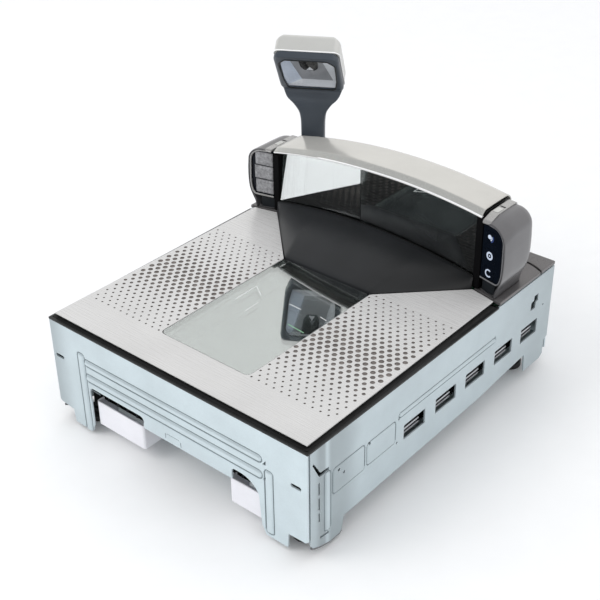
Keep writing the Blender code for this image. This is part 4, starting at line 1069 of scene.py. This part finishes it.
def section(half, front, back, corner, matrix, height):
    """A rounded ring across the pole or the head."""
    ring = rounded((-half, half), (front, back), corner, 6)
    return [tuple(matrix @ Vector((x, y, height))) for x, y in ring]


def window_outline(inset):
    """Square at the top and drawn in at the bottom, with rounded corners."""
    i = inset
    return both_halves(arc((19.8, 8.2 + i), 4.0, -90, -30, 6) + [(25.4 - i, 20.0)]
                       + arc((22.2 - i, 46.4), 4.2, 0, 50, 6) + arc((18.6, 50.8 - i), 4.0, 50, 90, 5))


def reader():
    """The pole, which fans out and leans over into the head's bezel, and the window in it."""
    rings = [section(half, -8.0, 2.0, 3.0, UPRIGHT, z)
             for z, half in ((4.6, 12.0), (16.0, 11.8), (50.0, 11.6), (76.0, 11.7), (86.0, 12.2))]
    for height, half, tilt, forward, depth in ((93.0, 14.0, 8.0, -8.2, 10.0), (100.5, 19.0, 17.0, -8.7, 9.6),
                                               (107.0, 25.4, 27.0, -8.4, 9.2)):
        turn = shift(y=forward, z=height) @ Matrix.Rotation(math.radians(tilt), 4, "X")
        rings.append(section(half, 0.0, depth, 3.0, turn, 0.0))
    face = [(0.6, 29.2), (5.0, 30.7), (14.0, 31.0), (30.0, 31.0), (50.0, 31.0), (53.5, 30.9), (55.5, 30.4),
            (57.2, 29.6), (58.5, 28.5), (59.5, 26.9), (60.0, 25.0)]
    head = [section(half, 0.0, BEZEL, 3.0, HEAD_LOCAL, along) for along, half in face]
    rings = spline(rings + head[:3], 5) + head[3:]
    obj = mesh_from(rings_bmesh([[tuple(p) for p in ring] for ring in rings]), "reader_front", POLE_PLACE, 50)
    boolean(obj, slab_object("pocket", window_outline(0.0), 18.0, HEAD_PLACE @ shift(y=6.0) @ FACING_FRONT))
    smooth_shading(obj.data, 40)
    show(obj, POLE_GREY, CHASSIS, "reader_front_shell")
    tube("reader_bezel_lip", [(x, 0.1, z) for x, z in window_outline(-0.5)], 0.7, BLACK, HEAD_PLACE, True)
    slab("reader_pane", window_outline(0.4), (0.6, 1.6), READER_GLASS, nodes=("reader_window",), edge=0.2,
         facing="front", within=HEAD_PLACE)


def reader_cap():
    """The silver back of the head: flat sides, rounded corners and a back that bulges in the middle."""
    middle, half_x, half_z = HEAD_LENGTH / 2, 30.8, 29.9
    rings = []
    for depth, scale in ((BEZEL + 0.3, 0.992), (BEZEL + 0.9, 1.0), (14.0, 1.0), (18.4, 0.998), (19.6, 0.990),
                         (20.5, 0.975), (21.1, 0.955), (21.5, 0.92), (21.8, 0.80), (22.0, 0.5), (22.0, 0.2)):
        x, z = half_x * scale, half_z * scale
        rise = 9.0 * min(1.0, (depth - BEZEL) / 8.0)
        rings.append([(x, depth + rise * (1.0 - (x / 31.0) ** 2), z)
                      for x, z in rounded((-x, x), (middle - z, middle + z), 6.0 * scale)])
    loft("reader_back_cap", rings, CAP_SILVER, nodes=("reader_cap",), matrix=HEAD_PLACE)
    # A thin bright ring round the bezel's edge: a painted highlight.
    rim = [(x, BEZEL + 0.6, z) for x, z in rounded((-31.0, 31.0), (0.4, 60.2), 5.5)]
    tube("reader_rim_line", rim, 0.65, LIP_PAINTED_HIGHLIGHT, HEAD_PLACE, True)


def reader_funnel():
    """Behind the reader's pane: four facets, the left one painted in bluish light, a floor and the lens hood.
    """
    lean = 9.0      # the floor's lower edge stands to the right of its upper one
    mouth = [(x, 1.9, z) for x, z in rectangle((-25.2, 25.2), (5.0, 54.4))]
    floor = [(x + (lean if z < 30.0 else 0.0), 7.0, z) for x, z in rectangle((-19.0, 12.0), (10.0, 50.0))]
    funnel = mesh_from(rings_bmesh([mouth, floor], first_cap=False), "funnel_facets", HEAD_PLACE, 10)
    show(funnel, (PALE, PALE_BLUE_PAINTED_LIGHT, FUNNEL_FLOOR), CHASSIS, "reader_funnel")
    to_head = HEAD_PLACE.inverted()
    inward = HEAD_PLACE.to_3x3().normalized() @ Vector((0, 1, 0))
    # The floor takes its own colour; the left facets take the painted bluish light.
    for face in funnel.data.polygons:
        if abs(face.normal.dot(inward)) > 0.999:
            face.material_index = 2
        elif (to_head @ face.center).x < -15.0:
            face.material_index = 1
    place = {"facing": "front", "within": HEAD_PLACE}
    hood = [(-9.5, 52.0), (-8.0, 36.0), (-5.0, 30.5), (5.5, 30.0), (8.5, 34.5), (9.5, 52.0)]
    slab("reader_lens_hood", hood, (4.8, 6.8), VOID, nodes=("reader_camera",), edge=0.5, **place)
    # A pale triangle on the lens hood: a painted glint.
    slab("reader_lens_glint", [(-2.5, 31.6), (4.0, 31.6), (1.2, 37.0)], (4.5, 4.8), PALE, **place)


def reader_back():
    rings = [section(half, 2.4, back, 2.4, UPRIGHT, z) for z, half, back in (
        (10.6, 9.4, 7.2), (12.0, 10.0, 8.0), (50.0, 10.0, 8.0), (84.0, 10.4, 8.2), (92.0, 11.4, 8.6),
        (95.6, 11.6, 8.8), (96.4, 10.8, 8.2))]
    loft("reader_pole_back", rings, POLE_GREY, nodes=("reader_back_shell",), matrix=POLE_PLACE, smooth=40)


# ---- carried-over CAD nodes

KEPT = {
    "rear_panel": ZINC, "top_frame": BLACK, "drip_seal": RUBBER, "scale_spider": ALUMINIUM,
    "load_cell": ALUMINIUM, "load_cell_mount": ALUMINIUM, "optics_tub": DULL_BLACK,
    "lower_mirror_left": MIRROR, "lower_mirror_right": MIRROR, "lower_camera": GLOSS,
    "tower_chassis": DULL_BLACK, "upper_mirror_left": MIRROR, "upper_mirror_right": MIRROR,
    "upper_camera": GLOSS, "key_board": BOARD, "speaker_driver": BLACK, "main_board": BOARD,
    "interface_ports": ALUMINIUM, "reader_cable": RUBBER,
}


def finish_kept_nodes():
    for name, material in KEPT.items():
        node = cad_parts[name]
        node.data.materials.clear()
        node.data.materials.append(material)


# ---- floor, light and camera

STUDIO_DARK_SIDE = Vector((-0.35, -0.75, 0.56)).normalized()
STUDIO_BRIGHT = (1.0, 0.995, 0.985)
STUDIO_DARK = (0.03, 0.031, 0.034)
STUDIO_FILL = (0.97, 0.98, 1.0)
KEY_PLACE = Vector((-0.9, -1.5, 1.7))
KEY_AIM = Vector((0.0, 0.0, 0.05))
KEY_WATTS = 15.0
CAMERA_AZIMUTH = math.radians(40.81)
CAMERA_ELEVATION = math.radians(32.10)
CAMERA_ROLL = math.radians(-0.83)
CAMERA_DISTANCE = 0.9433
CAMERA_AIM = Vector((0.05907, -0.08228, 0.16074))
CAMERA_LENS = 71.295


def stage():
    mesh = bpy.data.meshes.new("floor")
    reach = (-6.0, 6.0)
    mesh.from_pydata([(x, y, 0) for x, y in rectangle(reach, reach)], [], [(0, 1, 2, 3)])
    mesh.materials.append(surface("pale_floor", (0.95, 0.95, 0.95), 0.6, mottle=0.01, rounding=0.1))
    add_object("floor", mesh)


def lights():
    """A white room and a key light. Reflections see the room darker in front and above, so that polished
    parts keep their form."""
    world = bpy.data.worlds.new("studio")
    bpy.context.scene.world = world
    n = Nodes(world)
    across = n.node("ShaderNodeVectorMath", operation="DOT_PRODUCT")
    n.feed(across, {0: n.coordinates["Generated"], 1: STUDIO_DARK_SIDE})
    ramp = n.node("ShaderNodeValToRGB", {"Fac": across.outputs["Value"]})
    for stop, place, colour in zip(ramp.color_ramp.elements, (0.25, 0.85), (STUDIO_BRIGHT, STUDIO_DARK)):
        stop.position, stop.color = place, (*colour, 1)
    path = n.node("ShaderNodeLightPath")
    seen = n.mix(path.outputs["Is Glossy Ray"], STUDIO_FILL, ramp.outputs["Color"])
    n.feed(n.tree.nodes["Background"], {"Color": seen, "Strength": 1.0})
    key = bpy.data.lights.new("key", "AREA")
    key.shape = "DISK"
    key.size = 1.4
    key.energy = KEY_WATTS
    obj = add_object("key", key)
    obj.location = KEY_PLACE
    obj.rotation_mode = "QUATERNION"
    obj.rotation_quaternion = (KEY_AIM - KEY_PLACE).to_track_quat("-Z", "Y")
    obj.visible_glossy = False


def camera():
    data = bpy.data.cameras.new("camera")
    data.lens = CAMERA_LENS
    data.sensor_width = 36.0
    data.clip_start = 0.01
    turn = (Matrix.Rotation(CAMERA_AZIMUTH, 4, "Z") @ Matrix.Rotation(math.pi / 2 - CAMERA_ELEVATION, 4, "X")
            @ Matrix.Rotation(CAMERA_ROLL, 4, "Z"))
    obj = add_object("camera", data)
    obj.matrix_world = Matrix.Translation(CAMERA_AIM) @ turn @ shift(z=CAMERA_DISTANCE)
    bpy.context.scene.camera = obj
    bpy.context.scene.view_settings.view_transform = "Standard"


# ---- assembly

def build():
    front_panel()
    for side in SIDES:
        for make in (side_panel, side_hem, vent_fins, end_cap, indicator):
            make(side)
    for end, y in (("front", 24.0), ("rear", 328.0)):
        for side, name in SIDES.items():
            foot(f"{end}_{name}", (side * 122.0, y))
    bracket("left_counter_bracket", (-99.0, -40.0))
    bracket("right_counter_bracket", (60.0, 97.0))
    for make in (base_pan, rim_skirt, platter, platter_rim, platter_window, optics_under_platter, riser,
                 tower_glass, bonnet, control_cap, speaker_cap, tower_inside, deck, reader, reader_cap,
                 reader_funnel, reader_back, finish_kept_nodes, stage, lights, camera):
        make()


build()
